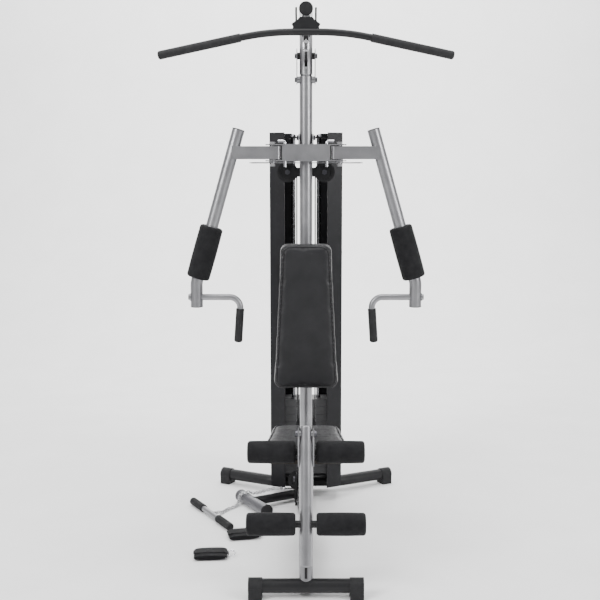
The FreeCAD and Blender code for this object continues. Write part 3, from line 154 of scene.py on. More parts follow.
def spread(tree, value, low, high, out_low, out_high):
    """Stretches the values between low and high over another range."""
    node = tree.nodes.new("ShaderNodeMapRange")
    ends = {"From Min": low, "From Max": high, "To Min": out_low, "To Max": out_high}
    for name, number in ends.items():
        node.inputs[name].default_value = number
    link(tree, value, node.inputs["Value"])
    return node.outputs["Result"]


def mixed(tree, share, color_a, color_b):
    """Colour A where share is 0 and colour B where it is 1; A may be another node's output."""
    node = tree.nodes.new("ShaderNodeMix")
    node.data_type = "RGBA"
    link(tree, share, node.inputs["Factor"])
    if isinstance(color_a, bpy.types.NodeSocket):
        link(tree, color_a, node.inputs["A"])
    else:
        node.inputs["A"].default_value = (*color_a, 1)
    node.inputs["B"].default_value = (*color_b, 1)
    return node.outputs["Result"]


def mottled(tree, coords, scale, color_a, color_b, detail=4.0, low=0.3):
    """Colour A turning slowly into colour B and back over the surface."""
    share = spread(tree, noise(tree, coords, scale, detail), low, 0.7, 0, 1)
    return mixed(tree, share, color_a, color_b)


def bumped(tree, height, strength, distance, below=None):
    node = tree.nodes.new("ShaderNodeBump")
    node.inputs["Strength"].default_value = strength
    node.inputs["Distance"].default_value = distance
    link(tree, height, node.inputs["Height"])
    if below is not None:
        link(tree, below, node.inputs["Normal"])
    return node.outputs["Normal"]


def new_material(name, **sockets):
    """A material with its even values set on the shader, its node tree and its object coordinates."""
    material = bpy.data.materials.new(name)
    material.use_nodes = True
    tree = material.node_tree
    shader = tree.nodes["Principled BSDF"]
    for socket, value in sockets.items():
        shader.inputs[socket.replace("_", " ")].default_value = value
    coords = tree.nodes.new("ShaderNodeTexCoord").outputs["Object"]
    return material, tree, shader, coords


def roughen(tree, shader, coords, scale, least, most, detail=4.0):
    """Lets the roughness drift between two values over the surface."""
    drift = spread(tree, noise(tree, coords, scale, detail), 0.3, 0.7, least, most)
    link(tree, drift, shader.inputs["Roughness"])


def painted(name, base, shade, rough, metallic, orange_peel=0.10, fleck=None, coat=0.25, specular=0.5):
    """Sprayed paint: slow changes of shade, orange peel, dust scuffs and, if asked, metal flecks."""
    material, tree, shader, coords = new_material(
        name, Metallic=metallic, Coat_Weight=coat, Coat_Roughness=0.18, Specular_IOR_Level=specular)
    color = mottled(tree, coords, 9, base, shade)
    if fleck:
        color = mixed(tree, spread(tree, noise(tree, coords, 2600, 2), 0.62, 0.75, 0, 0.7), color, fleck)
    scuffs = spread(tree, noise(tree, coords, 60, 8, 0.7), 0.56, 0.80, 0, 0.35)
    color = mixed(tree, scuffs, color, tuple(0.9 * c + 0.03 for c in base))
    link(tree, color, shader.inputs["Base Color"])
    gloss = spread(tree, noise(tree, coords, 35), 0.25, 0.75, rough - 0.05, rough + 0.08)
    link(tree, gloss, shader.inputs["Roughness"])
    fine = bumped(tree, noise(tree, coords, 900, 3), orange_peel, 0.0004)
    link(tree, bumped(tree, noise(tree, coords, 220, 3), orange_peel, 0.0008, fine), shader.inputs["Normal"])
    return material


def metal(name, base, shade, rough, drawn=None):
    """Bare or plated metal with smudges, fine scratches and, if asked, a drawn grain along an axis."""
    material, tree, shader, coords = new_material(name, Metallic=1.0)
    color = mottled(tree, coords, 25, base, shade, 6, 0.35)
    link(tree, color, shader.inputs["Base Color"])
    smudge = spread(tree, noise(tree, coords, 70, 6, 0.65), 0.3, 0.75, rough, rough + 0.16)
    link(tree, smudge, shader.inputs["Roughness"])
    grain = noise(tree, coords, 1500, 2)
    if drawn:
        grain = waves(tree, coords, 420, drawn, 6.0)
    link(tree, bumped(tree, grain, 0.06, 0.0003), shader.inputs["Normal"])
    return material


def vinyl(name):
    """Black upholstery vinyl: a pebbled leather grain, shallow creases and a soft uneven sheen."""
    material, tree, shader, coords = new_material(
        name, Specular_IOR_Level=0.3, Coat_Weight=0.06, Coat_Roughness=0.35)
    color = mottled(tree, coords, 14, (0.007, 0.007, 0.008), (0.013, 0.013, 0.015))
    pebbles = cells(tree, coords, 620)
    color = mixed(tree, spread(tree, pebbles, 0.25, 0.75, 0, 0.5), color, (0.006, 0.006, 0.007))
    link(tree, color, shader.inputs["Base Color"])
    roughen(tree, shader, coords, 40, 0.36, 0.52, 5)
    grain = bumped(tree, pebbles, 0.38, 0.0006)
    creases = bumped(tree, noise(tree, coords, 110, 6, 0.6), 0.18, 0.0012, grain)
    link(tree, creases, shader.inputs["Normal"])
    return material


def foam(name):
    """Closed-cell foam: a matte skin with fine pores, slight mottling and painted shade in the pits of the
    pores.
    """
    material, tree, shader, coords = new_material(
        name, Specular_IOR_Level=0.12, Sheen_Weight=0.04, Sheen_Roughness=0.6)
    color = mottled(tree, coords, 30, (0.005, 0.005, 0.006), (0.011, 0.011, 0.012), 6)
    pores = cells(tree, coords, 900)
    # Painted shade: each pore's pit is painted darker.
    color = mixed(tree, spread(tree, pores, 0.0, 0.35, 0.6, 0), color, (0.003, 0.003, 0.003))
    link(tree, color, shader.inputs["Base Color"])
    roughen(tree, shader, coords, 80, 0.74, 0.92)
    skin = bumped(tree, pores, 0.55, 0.0007)
    link(tree, bumped(tree, noise(tree, coords, 75, 5), 0.22, 0.0018, skin), shader.inputs["Normal"])
    return material


def moulded(name, base, shade, rough, grain_scale=750, strength=0.22):
    """Moulded rubber or plastic with a spark-eroded texture, flow marks and pale scuffs."""
    material, tree, shader, coords = new_material(name, Specular_IOR_Level=0.25)
    color = mottled(tree, coords, 45, base, shade, 6)
    scuffs = spread(tree, noise(tree, coords, 130, 9, 0.75), 0.60, 0.82, 0, 0.4)
    color = mixed(tree, scuffs, color, tuple(c + 0.02 for c in base))
    link(tree, color, shader.inputs["Base Color"])
    roughen(tree, shader, coords, 55, rough - 0.06, rough + 0.08)
    texture = noise(tree, coords, grain_scale, 3)
    link(tree, bumped(tree, texture, strength, 0.0006), shader.inputs["Normal"])
    return material


def webbing(name):
    """Woven strap: two crossing sets of yarns with fuzz and a soft sheen, and painted shade in the grooves
    between the warp yarns.
    """
    material, tree, shader, coords = new_material(
        name, Sheen_Weight=0.05, Sheen_Roughness=0.5, Specular_IOR_Level=0.15)
    warp = waves(tree, coords, 190, "X", 0.4)
    weft = waves(tree, coords, 150, "Y", 0.4)
    # Painted shade: the colour follows the warp's height, darker in the grooves between the yarns.
    color = mixed(tree, warp, (0.005, 0.005, 0.006), (0.012, 0.012, 0.013))
    fuzz = spread(tree, noise(tree, coords, 700), 0.45, 0.7, 0, 0.5)
    color = mixed(tree, fuzz, color, (0.018, 0.018, 0.020))
    link(tree, color, shader.inputs["Base Color"])
    roughen(tree, shader, coords, 90, 0.72, 0.9)
    yarns = bumped(tree, warp, 0.5, 0.0006)
    link(tree, bumped(tree, weft, 0.4, 0.0006, yarns), shader.inputs["Normal"])
    return material


def board(name):
    """Plywood stained black: open grain along the board and scattered pale flecks."""
    material, tree, shader, coords = new_material(name, Specular_IOR_Level=0.3)
    grain = waves(tree, coords, 55, "X", 9.0)
    color = mixed(tree, grain, (0.018, 0.015, 0.013), (0.045, 0.037, 0.030))
    flecks = spread(tree, noise(tree, coords, 260, 6), 0.6, 0.8, 0, 0.5)
    color = mixed(tree, flecks, color, (0.09, 0.07, 0.055))
    link(tree, color, shader.inputs["Base Color"])
    roughen(tree, shader, coords, 60, 0.6, 0.8)
    link(tree, bumped(tree, grain, 0.25, 0.0005), shader.inputs["Normal"])
    return material


def paper(name):
    """The studio's pale floor and backdrop."""
    material, tree, shader, coords = new_material(name, Specular_IOR_Level=0.1)
    color = mottled(tree, coords, 3, (0.86, 0.86, 0.86), (0.90, 0.90, 0.90))
    link(tree, color, shader.inputs["Base Color"])
    roughen(tree, shader, coords, 20, 0.8, 0.95)
    return material


SILVER = painted("silver_paint", (0.27, 0.27, 0.28), (0.21, 0.21, 0.22), 0.32, 0.75, 0.07,
                 fleck=(0.55, 0.55, 0.57))
# A darker copy of the silver paint, as painted shade for the foot bar, which is silver like the other tubes.
SHADED_SILVER = painted("shaded_silver_paint", (0.13, 0.13, 0.14), (0.10, 0.10, 0.11), 0.34, 0.6, 0.07,
                      fleck=(0.3, 0.3, 0.32))
BLACK = painted("black_paint", (0.006, 0.006, 0.007), (0.011, 0.011, 0.012), 0.46, 0.0, 0.14,
                coat=0.04, specular=0.25)
SHROUD = painted("shroud_paint", (0.005, 0.005, 0.006), (0.009, 0.009, 0.011), 0.42, 0.0, 0.08,
                 coat=0.03, specular=0.22)
CHROME = metal("chrome_plate", (0.80, 0.80, 0.82), (0.70, 0.70, 0.73), 0.07)
ROD_STEEL = metal("ground_steel", (0.22, 0.22, 0.23), (0.16, 0.16, 0.17), 0.16)
ZINC = metal("zinc_steel", (0.60, 0.60, 0.61), (0.45, 0.45, 0.46), 0.28, "DIAGONAL")
BLACK_ZINC = metal("black_zinc", (0.10, 0.10, 0.11), (0.06, 0.06, 0.07), 0.30)
IRON = painted("iron_paint", (0.020, 0.020, 0.022), (0.032, 0.032, 0.034), 0.52, 0.1, 0.40)
VINYL = vinyl("black_vinyl")
FOAM = foam("black_foam")
RUBBER = moulded("black_rubber", (0.008, 0.008, 0.009), (0.014, 0.014, 0.015), 0.62)
PLASTIC = moulded("black_plastic", (0.009, 0.009, 0.010), (0.015, 0.015, 0.016), 0.40, 1100, 0.12)
JACKET = moulded("cable_jacket", (0.012, 0.012, 0.013), (0.022, 0.022, 0.024), 0.26, 400, 0.06)
GREY_PLASTIC = moulded("grey_plastic", (0.10, 0.10, 0.105), (0.13, 0.13, 0.135), 0.42, 1100, 0.12)
WEBBING = webbing("black_webbing")
BOARD = board("black_board")

FINISH = {
    "front_post": SILVER, "mast": SILVER, "boom": SILVER, "press_frame": SILVER, "leg_lever": SILVER,
    "left_cam": SILVER, "right_cam": SILVER, "left_arm": SILVER, "right_arm": SILVER,
    # The foot bar takes the darker copy of the silver paint as painted shade.
    "left_handle": SILVER, "right_handle": SILVER, "foot_bar": SHADED_SILVER,
    "front_stabilizer": BLACK, "rear_stabilizer": BLACK, "beams": BLACK, "top_frame": BLACK,
    "shroud": SHROUD, "guide_rods": ROD_STEEL, "lat_bar": BLACK, "row_bar": SILVER, "chain": ZINC,
    "lat_snap_hook": CHROME, "left_lock_pin": CHROME, "right_lock_pin": CHROME, "top_plate": IRON,
    "frame_bolts": BLACK_ZINC, "arm_pivot_bolts": ZINC, "upper_roller_axle": BLACK,
    "lower_roller_axle": BLACK, "floating_block": ZINC, "stack_block": ZINC,
    "resting_plates": IRON, "lifted_plates": IRON, "end_caps": RUBBER, "selector_pin": PLASTIC,
    "high_cable": JACKET, "fly_cable": JACKET, "low_cables": JACKET, "pad_boards": BOARD,
    "boom_pulley": PLASTIC, "top_front_pulley": PLASTIC, "top_rear_pulley": PLASTIC,
    "left_fly_pulley": PLASTIC, "right_fly_pulley": PLASTIC, "floating_pulley": PLASTIC,
    "stack_block_pulley": PLASTIC, "low_pulley": PLASTIC, "base_pulleys": PLASTIC,
}


def on_black_boom_part(centre):
    """True on the boom's pulley plates and bar hooks, which stand outside its tube."""
    off_axis = math.hypot(centre.x, centre.z - BOOM_TUBE_Z)
    return centre.y < BOOM_STRAIGHT_Y and off_axis > FRAME_TUBE_R + 0.0006


def on_dark_mast_part(centre):
    """True on the fly pulleys' bracket and on the spacers behind the upper head bolt."""
    bracket = centre.y > MAST_Y + FRAME_TUBE_R + 0.001 and 1.42 < centre.z < 1.49
    spacer = 0.0252 < abs(centre.x) < 0.0338 and 1.885 < centre.z < 1.92
    return bracket or spacer


def on_stem(centre):
    """True on the drilled stem below the top plate."""
    return math.hypot(centre.x, centre.y - STACK_Y) < STEM_R


def on_foot_stem(centre):
    """True on the foot bar's stem, which runs from the cross tube to the floor beam."""
    along_stem = (centre.xy - FOOT_BAR_MIDDLE) @ FOOT_STEM_WAY
    return along_stem > FRAME_TUBE_R + 0.0002


def on_far_plug(centre):
    """True on the plug in the foot bar's far end."""
    return centre.y > 0.36 and -0.33 < centre.x < -0.24 and centre.z < 0.06


TWO_TONE = {
    "foot_bar": (BLACK, on_foot_stem),
    "end_caps": (GREY_PLASTIC, on_far_plug),
    "boom": (BLACK, on_black_boom_part),
    "mast": (BLACK, on_dark_mast_part),
    "top_plate": (CHROME, on_stem),
}


def finish_frame():
    """Gives each CAD node its material, and a second one to the faces of another colour."""
    for name, material in FINISH.items():
        mesh = NODES[name].data
        mesh.materials.clear()
        mesh.materials.append(material)
        if name in TWO_TONE:
            second, picks = TWO_TONE[name]
            mesh.materials.append(second)
            for polygon in mesh.polygons:
                polygon.material_index = 1 if picks(polygon.center) else 0


# ---------------------------------------------------------------- mesh tools

def add_object(name, bm, material):
    """Turns a bmesh into a smooth object in the scene."""
    bmesh.ops.recalc_face_normals(bm, faces=bm.faces)
    mesh = bpy.data.meshes.new(name)
    bm.to_mesh(mesh)
    bm.free()
    mesh.materials.append(material)
    for polygon in mesh.polygons:
        polygon.use_smooth = True
    obj = bpy.data.objects.new(name, mesh)
    bpy.context.scene.collection.objects.link(obj)
    return obj


def piece(name, bm, material, body):
    """Puts a form in the scene as a named piece that rides on a body."""
    obj = add_object(name, bm, material)
    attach(obj, body)
    return obj


def add_ring(bm, place, radius, segments):
    """Adds the corners of a circle about the Z axis of place."""
    ring = []
    for step in range(segments):
        angle = 2 * math.pi * step / segments
        ring.append(bm.verts.new(place @ Vector((radius * math.cos(angle), radius * math.sin(angle), 0))))
    return ring


def mirrored(point, sign):
    """A point on the right side as it is, or on the left side where sign is -1."""
    return Vector((point.x * sign, point.y, point.z))


def facing(start, end):
    """The turn and move that carry +Z onto the line from start to end."""
    turn = (end - start).to_track_quat("Z", "Y").to_matrix().to_4x4()
    return Matrix.Translation(start) @ turn


def add_turned(bm, profile, start, end, segments=56):
    """Adds a turned form: (distance, radius) pairs from start towards end, closed at radius 0."""
    place = facing(start, end)
    rings = []
    for distance, radius in profile:
        at_distance = place @ Matrix.Translation((0, 0, distance))
        if radius < 1e-6:
            rings.append([bm.verts.new(at_distance @ Vector((0, 0, 0)))])
        else:
            rings.append(add_ring(bm, at_distance, radius, segments))
    for low, high in zip(rings, rings[1:]):
        for step in range(segments):
            after = (step + 1) % segments
            if len(low) == 1 and len(high) == 1:
                break
            if len(low) == 1:
                bm.faces.new((low[0], high[after], high[step]))
            elif len(high) == 1:
                bm.faces.new((low[step], low[after], high[0]))
            else:
                bm.faces.new((low[step], low[after], high[after], high[step]))


def add_cord(bm, points, radius, segments=10, closed=False):
    """Adds a round cord through the points."""
    rings = []
    count = len(points)
    for index, point in enumerate(points):
        before = points[index - 1] if index or closed else points[0]
        after = points[(index + 1) % count] if index < count - 1 or closed else points[-1]
        turn = (after - before).to_track_quat("Z", "Y").to_matrix().to_4x4()
        rings.append(add_ring(bm, Matrix.Translation(point) @ turn, radius, segments))
    pairs = list(zip(rings, rings[1:]))
    if closed:
        pairs.append((rings[-1], rings[0]))
    for low, high in pairs:
        shift = 0
        if closed and low is rings[-1]:
            shift = min(range(segments), key=lambda s: (high[s].co - low[0].co).length)
        for step in range(segments):
            after = (step + 1) % segments
            far = high[(after + shift) % segments], high[(step + shift) % segments]
            bm.faces.new((low[step], low[after], *far))
    if not closed:
        bm.faces.new(rings[0])
        bm.faces.new(rings[-1])


def turned_piece(name, profile, start, end, material, body, segments=56):
    bm = bmesh.new()
    add_turned(bm, profile, start, end, segments)
    return piece(name, bm, material, body)


def rounded_corner(before, corner, after, radius, steps=12):
    """Points of the arc that rounds off a corner between two straight runs."""
    back = (before - corner).normalized()
    ahead = (after - corner).normalized()
    half_angle = back.angle(ahead) / 2
    centre = corner + (back + ahead).normalized() * (radius / math.sin(half_angle))
    setback = radius / math.tan(half_angle)
    first = corner + back * setback - centre
    last = corner + ahead * setback - centre
    sweep = first.angle(last)
    points = []
    for step in range(steps + 1):
        share = step / steps
        mix = (first * math.sin((1 - share) * sweep) + last * math.sin(share * sweep)) / math.sin(sweep)
        points.append(centre + mix)
    return points


def rounded_outline(corners, radius):
    """A closed flat outline through corners, each rounded off; they run anticlockwise."""
    flat = [Vector(corner) for corner in corners]
    outline = []
    for index, here in enumerate(flat):
        outline += rounded_corner(flat[index - 1], here, flat[(index + 1) % len(flat)], radius, 10)
    return outline


def even_loop(points, spacing):
    """Points at an even spacing round a closed loop."""
    closed = points + [points[0]]
    lengths = [(b - a).length for a, b in zip(closed, closed[1:])]
    total = sum(lengths)
    count = int(total / spacing)
    result = []
    index = 0
    passed = 0.0
    for step in range(count):
        wanted = total * step / count
        while passed + lengths[index] < wanted:
            passed += lengths[index]
            index += 1
        share = (wanted - passed) / lengths[index]
        result.append(closed[index].lerp(closed[index + 1], share))
    return result


# ---------------------------------------------------------------- pads

def swollen_copy(node_name, name, shrink, cap, held):
    """A padded form grown by cloth pressure from a slightly smaller copy of its plain solid.

    held(point) is how freely a point may move, from 0, fixed, to 1.
    """
    source = NODES[node_name]
    low, high = corners_of(node_name)
    middle = middle_of(node_name)
    size = high - low
    factors = [(size[axis] - 2 * shrink[axis]) / size[axis] for axis in range(3)]
    obj = bpy.data.objects.new(name, source.data.copy())
    bpy.context.scene.collection.objects.link(obj)
    for vertex in obj.data.vertices:
        offset = vertex.co - middle
        vertex.co = middle + Vector([offset[axis] * factors[axis] for axis in range(3)])
    bpy.context.view_layer.objects.active = obj
    remesh = obj.modifiers.new("even", "REMESH")
    remesh.mode = "VOXEL"
    remesh.voxel_size = PAD_VOXEL
    bpy.ops.object.modifier_apply(modifier="even")
    soften = obj.modifiers.new("soften", "SMOOTH")
    soften.iterations = 6
    bpy.ops.object.modifier_apply(modifier="soften")
    rest = [vertex.co.copy() for vertex in obj.data.vertices]
    cloth = obj.modifiers.new("air", "CLOTH")
    cloth.settings.use_pressure = True
    cloth.settings.uniform_pressure_force = PAD_PRESSURE
    cloth.settings.effector_weights.gravity = 0.0
    cloth.settings.quality = 4
    for number in range(1, PAD_FRAMES + 1):
        bpy.context.scene.frame_set(number)
    shape = obj.evaluated_get(bpy.context.evaluated_depsgraph_get()).data
    moved = [vertex.co.copy() for vertex in shape.vertices]
    obj.modifiers.remove(cloth)
    bpy.context.scene.frame_set(1)
    for vertex, start, end in zip(obj.data.vertices, rest, moved):
        step = (end - start) * held(start)
        if step.length > cap:
            step = step.normalized() * cap
        vertex.co = start + step
    finer = obj.modifiers.new("finer", "SUBSURF")
    finer.levels = 1
    bpy.ops.object.modifier_apply(modifier="finer")
    obj.data.materials.clear()
    return obj


def settle(obj, inset_line, press, reach, normal):
    """Sinks the surface along a sewn line, so that the panel crowns beside it."""
    for vertex in obj.data.vertices:
        near = min((vertex.co - point).length for point in inset_line)
        if near < reach:
            vertex.co -= normal * press * (1 - near / reach) ** 2


def snapped(obj, points, direction):
    """The points moved along direction onto the piece's surface."""
    corners = [vertex.co for vertex in obj.data.vertices]
    faces = [polygon.vertices[:] for polygon in obj.data.polygons]
    tree = BVHTree.FromPolygons(corners, faces)
    result = []
    for point in points:
        hit = tree.ray_cast(point + direction * 0.12, -direction)[0]
        result.append(hit if hit else tree.find_nearest(point)[0])
    return result


def dress_pad(obj, node_name, welt_points, normal):
    """Finishes a pad: its material, its place on the frame and the sewn welt along a line."""
    line = snapped(obj, welt_points, normal)
    settle(obj, line[::3], 0.0022, 0.016, normal)
    line = snapped(obj, welt_points, normal)
    for polygon in obj.data.polygons:
        polygon.use_smooth = True
    obj.data.materials.append(VINYL)
    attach(obj, "frame")
    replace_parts(obj, node_name)
    bm = bmesh.new()
    add_cord(bm, [point + normal * 0.0012 for point in line], 0.0026, 10, closed=True)
    piece(node_name + "_welt", bm, VINYL, "frame")


def make_seat():
    low, high = corners_of("seat_pad")

    def held(point):
        return min(1.0, max(0.0, (point.z - low.z - 0.004) / 0.02))

    pad = swollen_copy("seat_pad", "seat_cushion", (0.004, 0.004, 0.003), 0.007, held)
    inset = 0.020
    front = 0.165 - inset
    rear = 0.135 - inset
    near = low.y + inset
    far = high.y - inset
    corners = [(-front, near), (front, near), (rear, far), (-rear, far)]
    welt = [Vector((point.x, point.y, high.z)) for point in rounded_outline(corners, 0.032)]
    dress_pad(pad, "seat_pad", even_loop(welt, WELT_SPACING), UP)


def make_backrest():
    low, high = corners_of("backrest_pad")

    def held(point):
        return min(1.0, max(0.0, (high.y - 0.004 - point.y) / 0.02))

    pad = swollen_copy("backrest_pad", "back_cushion", (0.004, 0.003, 0.004), 0.007, held)
    inset = 0.019
    bottom = 0.136 - inset
    top = 0.105 - inset
    foot = low.z + inset
    head = high.z - inset
    corners = [(-bottom, foot), (bottom, foot), (top, head), (-top, head)]
    welt = [Vector((point.x, low.y, point.y)) for point in rounded_outline(corners, 0.027)]
    dress_pad(pad, "backrest_pad", even_loop(welt, WELT_SPACING), -BACK)


# ---------------------------------------------------------------- foam rollers and grips

def foam_profile(length, radius, bore):
    """A foam tube's section: soft shoulders, a slight barrel and a dished mouth at each end."""
    shoulder = 0.010
    barrel = 0.001
    low_end = []
    for step in range(8):
        angle = math.pi / 2 * step / 7
        drop = shoulder * (1 - math.sin(angle)) + barrel
        low_end.append((shoulder * (1 - math.cos(angle)), radius - drop))
    profile = [(0.012, bore), (0.002, bore + 0.002), (0.0, bore + 0.006)] + low_end
    for step in range(1, 12):
        share = step / 12
        swell = barrel * math.sin(math.pi * share)
        profile.append((shoulder + (length - 2 * shoulder) * share, radius - barrel + swell))
    profile += [(length - distance, height) for distance, height in reversed(low_end)]
    profile += [(length, bore + 0.006), (length - 0.002, bore + 0.002), (length - 0.012, bore)]
    return profile


def make_foam(name, start, end, radius, bore, body, node_name):
    """A foam tube that stands in for its plain CAD node."""
    profile = foam_profile((end - start).length, radius, bore)
    obj = turned_piece(name, profile, start, end, FOAM, body, 72)
    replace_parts(obj, node_name)
    return obj


def plug(name, centre, outward, radius, body, depth=0.006):
    """A domed round plug in a tube's end."""
    neck = radius * 0.86
    profile = [(-0.004, 0.0), (-0.004, neck), (0.0, neck), (0.0, radius), (depth * 0.35, radius)]
    for step in range(1, 6):
        angle = math.pi / 2 * step / 6
        profile.append((depth * (0.35 + 0.65 * math.sin(angle)), radius * math.cos(angle)))
    profile.append((depth, 0.0))
    return turned_piece(name, profile, centre, centre + outward, PLASTIC, body, 48)


def make_rollers():
    """Two foam rollers on each of the two axles, with plugs in their outer ends."""
    for node_name, body in (("upper_rollers", "upper_roller_body"), ("lower_rollers", "lower_roller_body")):
        low, high = corners_of(node_name)
        middle = middle_of(node_name)
        radius = (high.z - low.z) / 2
        for side, sign in SIDES:
            outward = RIGHT * sign
            start = Vector((sign * 0.036, middle.y, middle.z))
            end = Vector((sign * high.x, middle.y, middle.z))
            name = f"{node_name}_{side}"
            make_foam(name, start, end, radius, 0.0131, body, node_name)
            plug(name + "_plug", end - outward * 0.005, outward, 0.0185, body)


def make_arm_dressing():
    """Each arm's foam, the plugs in its ends and the grip on its handle."""
    slope = (ARM_ELBOW - ARM_TOP).normalized()
    foam_ends = [ARM_TOP + slope * ((ARM_TOP.z - z) / -slope.z) for z in ARM_FOAM_Z]
    grip_start = HANDLE_FOOT - (HANDLE_FOOT - HANDLE_BEND).normalized() * 0.130
    for side, sign in SIDES:
        body = side + "_arm_body"
        low, high = (mirrored(point, sign) for point in foam_ends)
        make_foam(side + "_forearm_foam", high, low, 0.0465, ARM_PLUG_R, body, side + "_arm_foam")
        top = mirrored(ARM_TOP, sign)
        plug(side + "_arm_top_plug", top, mirrored(-slope, sign), ARM_PLUG_R, body, 0.0045)
        plug(side + "_arm_foot_plug", mirrored(ARM_FOOT, sign), -UP, ARM_PLUG_R, body, 0.0045)
        make_grip(side + "_grip", (0.135, 0.0165, 0.0126, 0.0052), mirrored(grip_start, sign),
                  mirrored(HANDLE_FOOT, sign), body, side + "_handle_grip")


def grip_profile(length, radius, bore, pitch, rib=0.0007):
    """A moulded grip: a thin lip, rows of ribs and a rounded closed end."""
    profile = [(0.006, bore), (0.0, bore + 0.0006), (0.0, radius - 0.0008), (0.001, radius), (0.005, radius)]
    place = 0.006
    while place < length - radius - pitch:
        profile += [(place, radius - rib), (place + pitch * 0.3, radius - rib),
                    (place + pitch * 0.45, radius), (place + pitch * 0.85, radius)]
        place += pitch
    for step in range(9):
        angle = math.pi / 2 * step / 8
        profile.append((length - 0.009 + 0.009 * math.sin(angle), radius - 0.009 * (1 - math.cos(angle))))
    profile.append((length, 0.0))
    return profile


def make_grip(name, sizes, start, end, body, node_name):
    """A ribbed grip of grip_profile's sizes that stands in for its plain CAD node."""
    grip = turned_piece(name, grip_profile(*sizes), start, end, RUBBER, body)
    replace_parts(grip, node_name)


def make_bar_grips():
    """The grips on the lat bar's two ends and on the row bar's two ends."""
    start = LAT_CORNER + (LAT_END - LAT_CORNER).normalized() * 0.0956
    length = (LAT_END - start).length + 0.004
    for side, sign in SIDES:
        make_grip("lat_grip_" + side, (length, 0.0155, 0.0126, 0.009, 0.0004), mirrored(start, sign),
                  mirrored(LAT_END, sign), "lat_bar_body", "lat_bar_grips")
    for side, here, there in (("far", *ROW_ENDS), ("near", *ROW_ENDS[::-1])):
        first = here + (there - here).normalized() * 0.118
        sizes = (0.122, 0.0165, 0.0121, 0.0052)
        make_grip("row_grip_" + side, sizes, first, here, "row_handle", "row_bar_grips")


# ---------------------------------------------------------------- ankle straps

def strap_loop(half_length, height):
    """The section of a cuff rolled flat: a spiral of padded strap, as points in its own X and Z."""
    points = []
    for step in range(int(72 * 2.2) + 1):
        angle = 2 * math.pi * step / 72
        shrink = 0.0042 * step / 72
        flat = height / 2 - 0.0032 - shrink
        reach = half_length - 0.003 - shrink * 1.6
        cosine = math.cos(angle)
        sine = math.sin(angle)
        x = math.copysign(abs(cosine) ** 0.55, cosine) * reach
        z = math.copysign(abs(sine) ** 0.9, sine) * flat
        points.append(Vector((x, 0, z + height / 2)))
    return points


def add_band(bm, points, half_width, thickness):
    """Adds a strap of even thickness that follows points across a width, with softly rounded edges."""
    section = [(0.0, 0.25), (0.015, 0.75), (0.05, 1.0), (0.5, 1.0), (0.95, 1.0), (0.985, 0.75), (1.0, 0.25)]
    rows = []
    for index, point in enumerate(points):
        before = points[max(index - 1, 0)]
        after = points[min(index + 1, len(points) - 1)]
        along = (after - before).normalized()
        outward = Vector((along.z, 0, -along.x)) * thickness / 2
        row = []
        for face, shares in ((1, section), (-1, section[::-1])):
            for share, full in shares:
                across = BACK * (2 * share - 1) * half_width
                row.append(bm.verts.new(point + outward * full * face + across))
        rows.append(row)
    size = len(rows[0])
    for low, high in zip(rows, rows[1:]):
        for step in range(size):
            after = (step + 1) % size
            bm.faces.new((low[step], low[after], high[after], high[step]))
    bm.faces.new(rows[0])
    bm.faces.new(rows[-1])


def make_strap(side, centre, turn):
    """An ankle strap: its padded cuff rolled flat, the webbing over it, stitches and a steel ring."""
    place = Matrix.Translation(centre) @ Matrix.Rotation(math.radians(turn), 4, "Z")

    def laid(part, bm, material):
        bmesh.ops.transform(bm, matrix=place, verts=bm.verts)
        return piece(f"{side}_{part}", bm, material, side + "_strap_body")

    bm = bmesh.new()
    add_band(bm, strap_loop(0.066, 0.024), 0.045, 0.0042)
    cuff = laid("ankle_cuff", bm, WEBBING)
    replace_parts(cuff, side + "_ankle_strap")

    over = []
    for step in range(43):
        x = -0.064 + 0.0032 * step
        drop = max(0.0, (abs(x) - 0.050) / 0.02) ** 2
        over.append(Vector((x, 0, 0.0238 - 0.010 * drop)))
    bm = bmesh.new()
    add_band(bm, over, 0.018, 0.0016)
    laid("cuff_webbing", bm, WEBBING)

    bm = bmesh.new()
    for y in (-0.0155, 0.0155, -0.041, 0.041):
        for step in range(26):
            x = -0.052 + 0.0041 * step
            start = Vector((x, y, 0.0242))
            stitch = [start, start + Vector((0.0013, 0, 0.0005)), start + RIGHT * 0.0026]
            add_cord(bm, stitch, 0.0004, 6)
    laid("cuff_stitches", bm, RUBBER)

    ring = []
    for step in range(40):
        angle = 2 * math.pi * step / 40
        x = 0.080 + 0.0145 * max(math.cos(angle), -0.72)
        ring.append(Vector((x, 0.004 + 0.0155 * math.sin(angle), 0.012 + 0.0045 * math.sin(angle))))
    bm = bmesh.new()
    add_cord(bm, ring, 0.0023, 12, closed=True)
    laid("cuff_ring", bm, CHROME)


def make_straps():
    make_strap("right", Vector((-0.366, -0.278, 0.0)), 4.0)
    make_strap("left", Vector((-0.252, -0.060, 0.0)), 12.0)


# ---------------------------------------------------------------- cables

def arc(centre, first, last, outward, steps=14, radius=WRAP_R):
    """Points of a cable's wrap, from one angle to another: 0 is outward and 90 degrees is up."""
    points = []
    for step in range(steps + 1):
        angle = math.radians(first + (last - first) * step / steps)
        points.append(centre + (outward * math.cos(angle) + UP * math.sin(angle)) * radius)
    return points


def split_run(start, end, spacing=0.02):
    """Points along a straight run, close enough together to stretch evenly."""
    count = max(2, int((end - start).length / spacing))
    return [start.lerp(end, step / count) for step in range(count + 1)]


def cord_piece(name, points, body, node_name):
    """A stretch of cable that rides on one body."""
    bm = bmesh.new()
    add_cord(bm, points, CABLE_R)
    obj = piece(name, bm, JACKET, body)
    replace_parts(obj, node_name)


def stretching(name, points, node_name):
    """A stretch of cable placed at rest in world coordinates, on no body."""
    bm = bmesh.new()
    add_cord(bm, points, CABLE_R)
    obj = add_object(name, bm, JACKET)
    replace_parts(obj, node_name)
    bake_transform(obj)


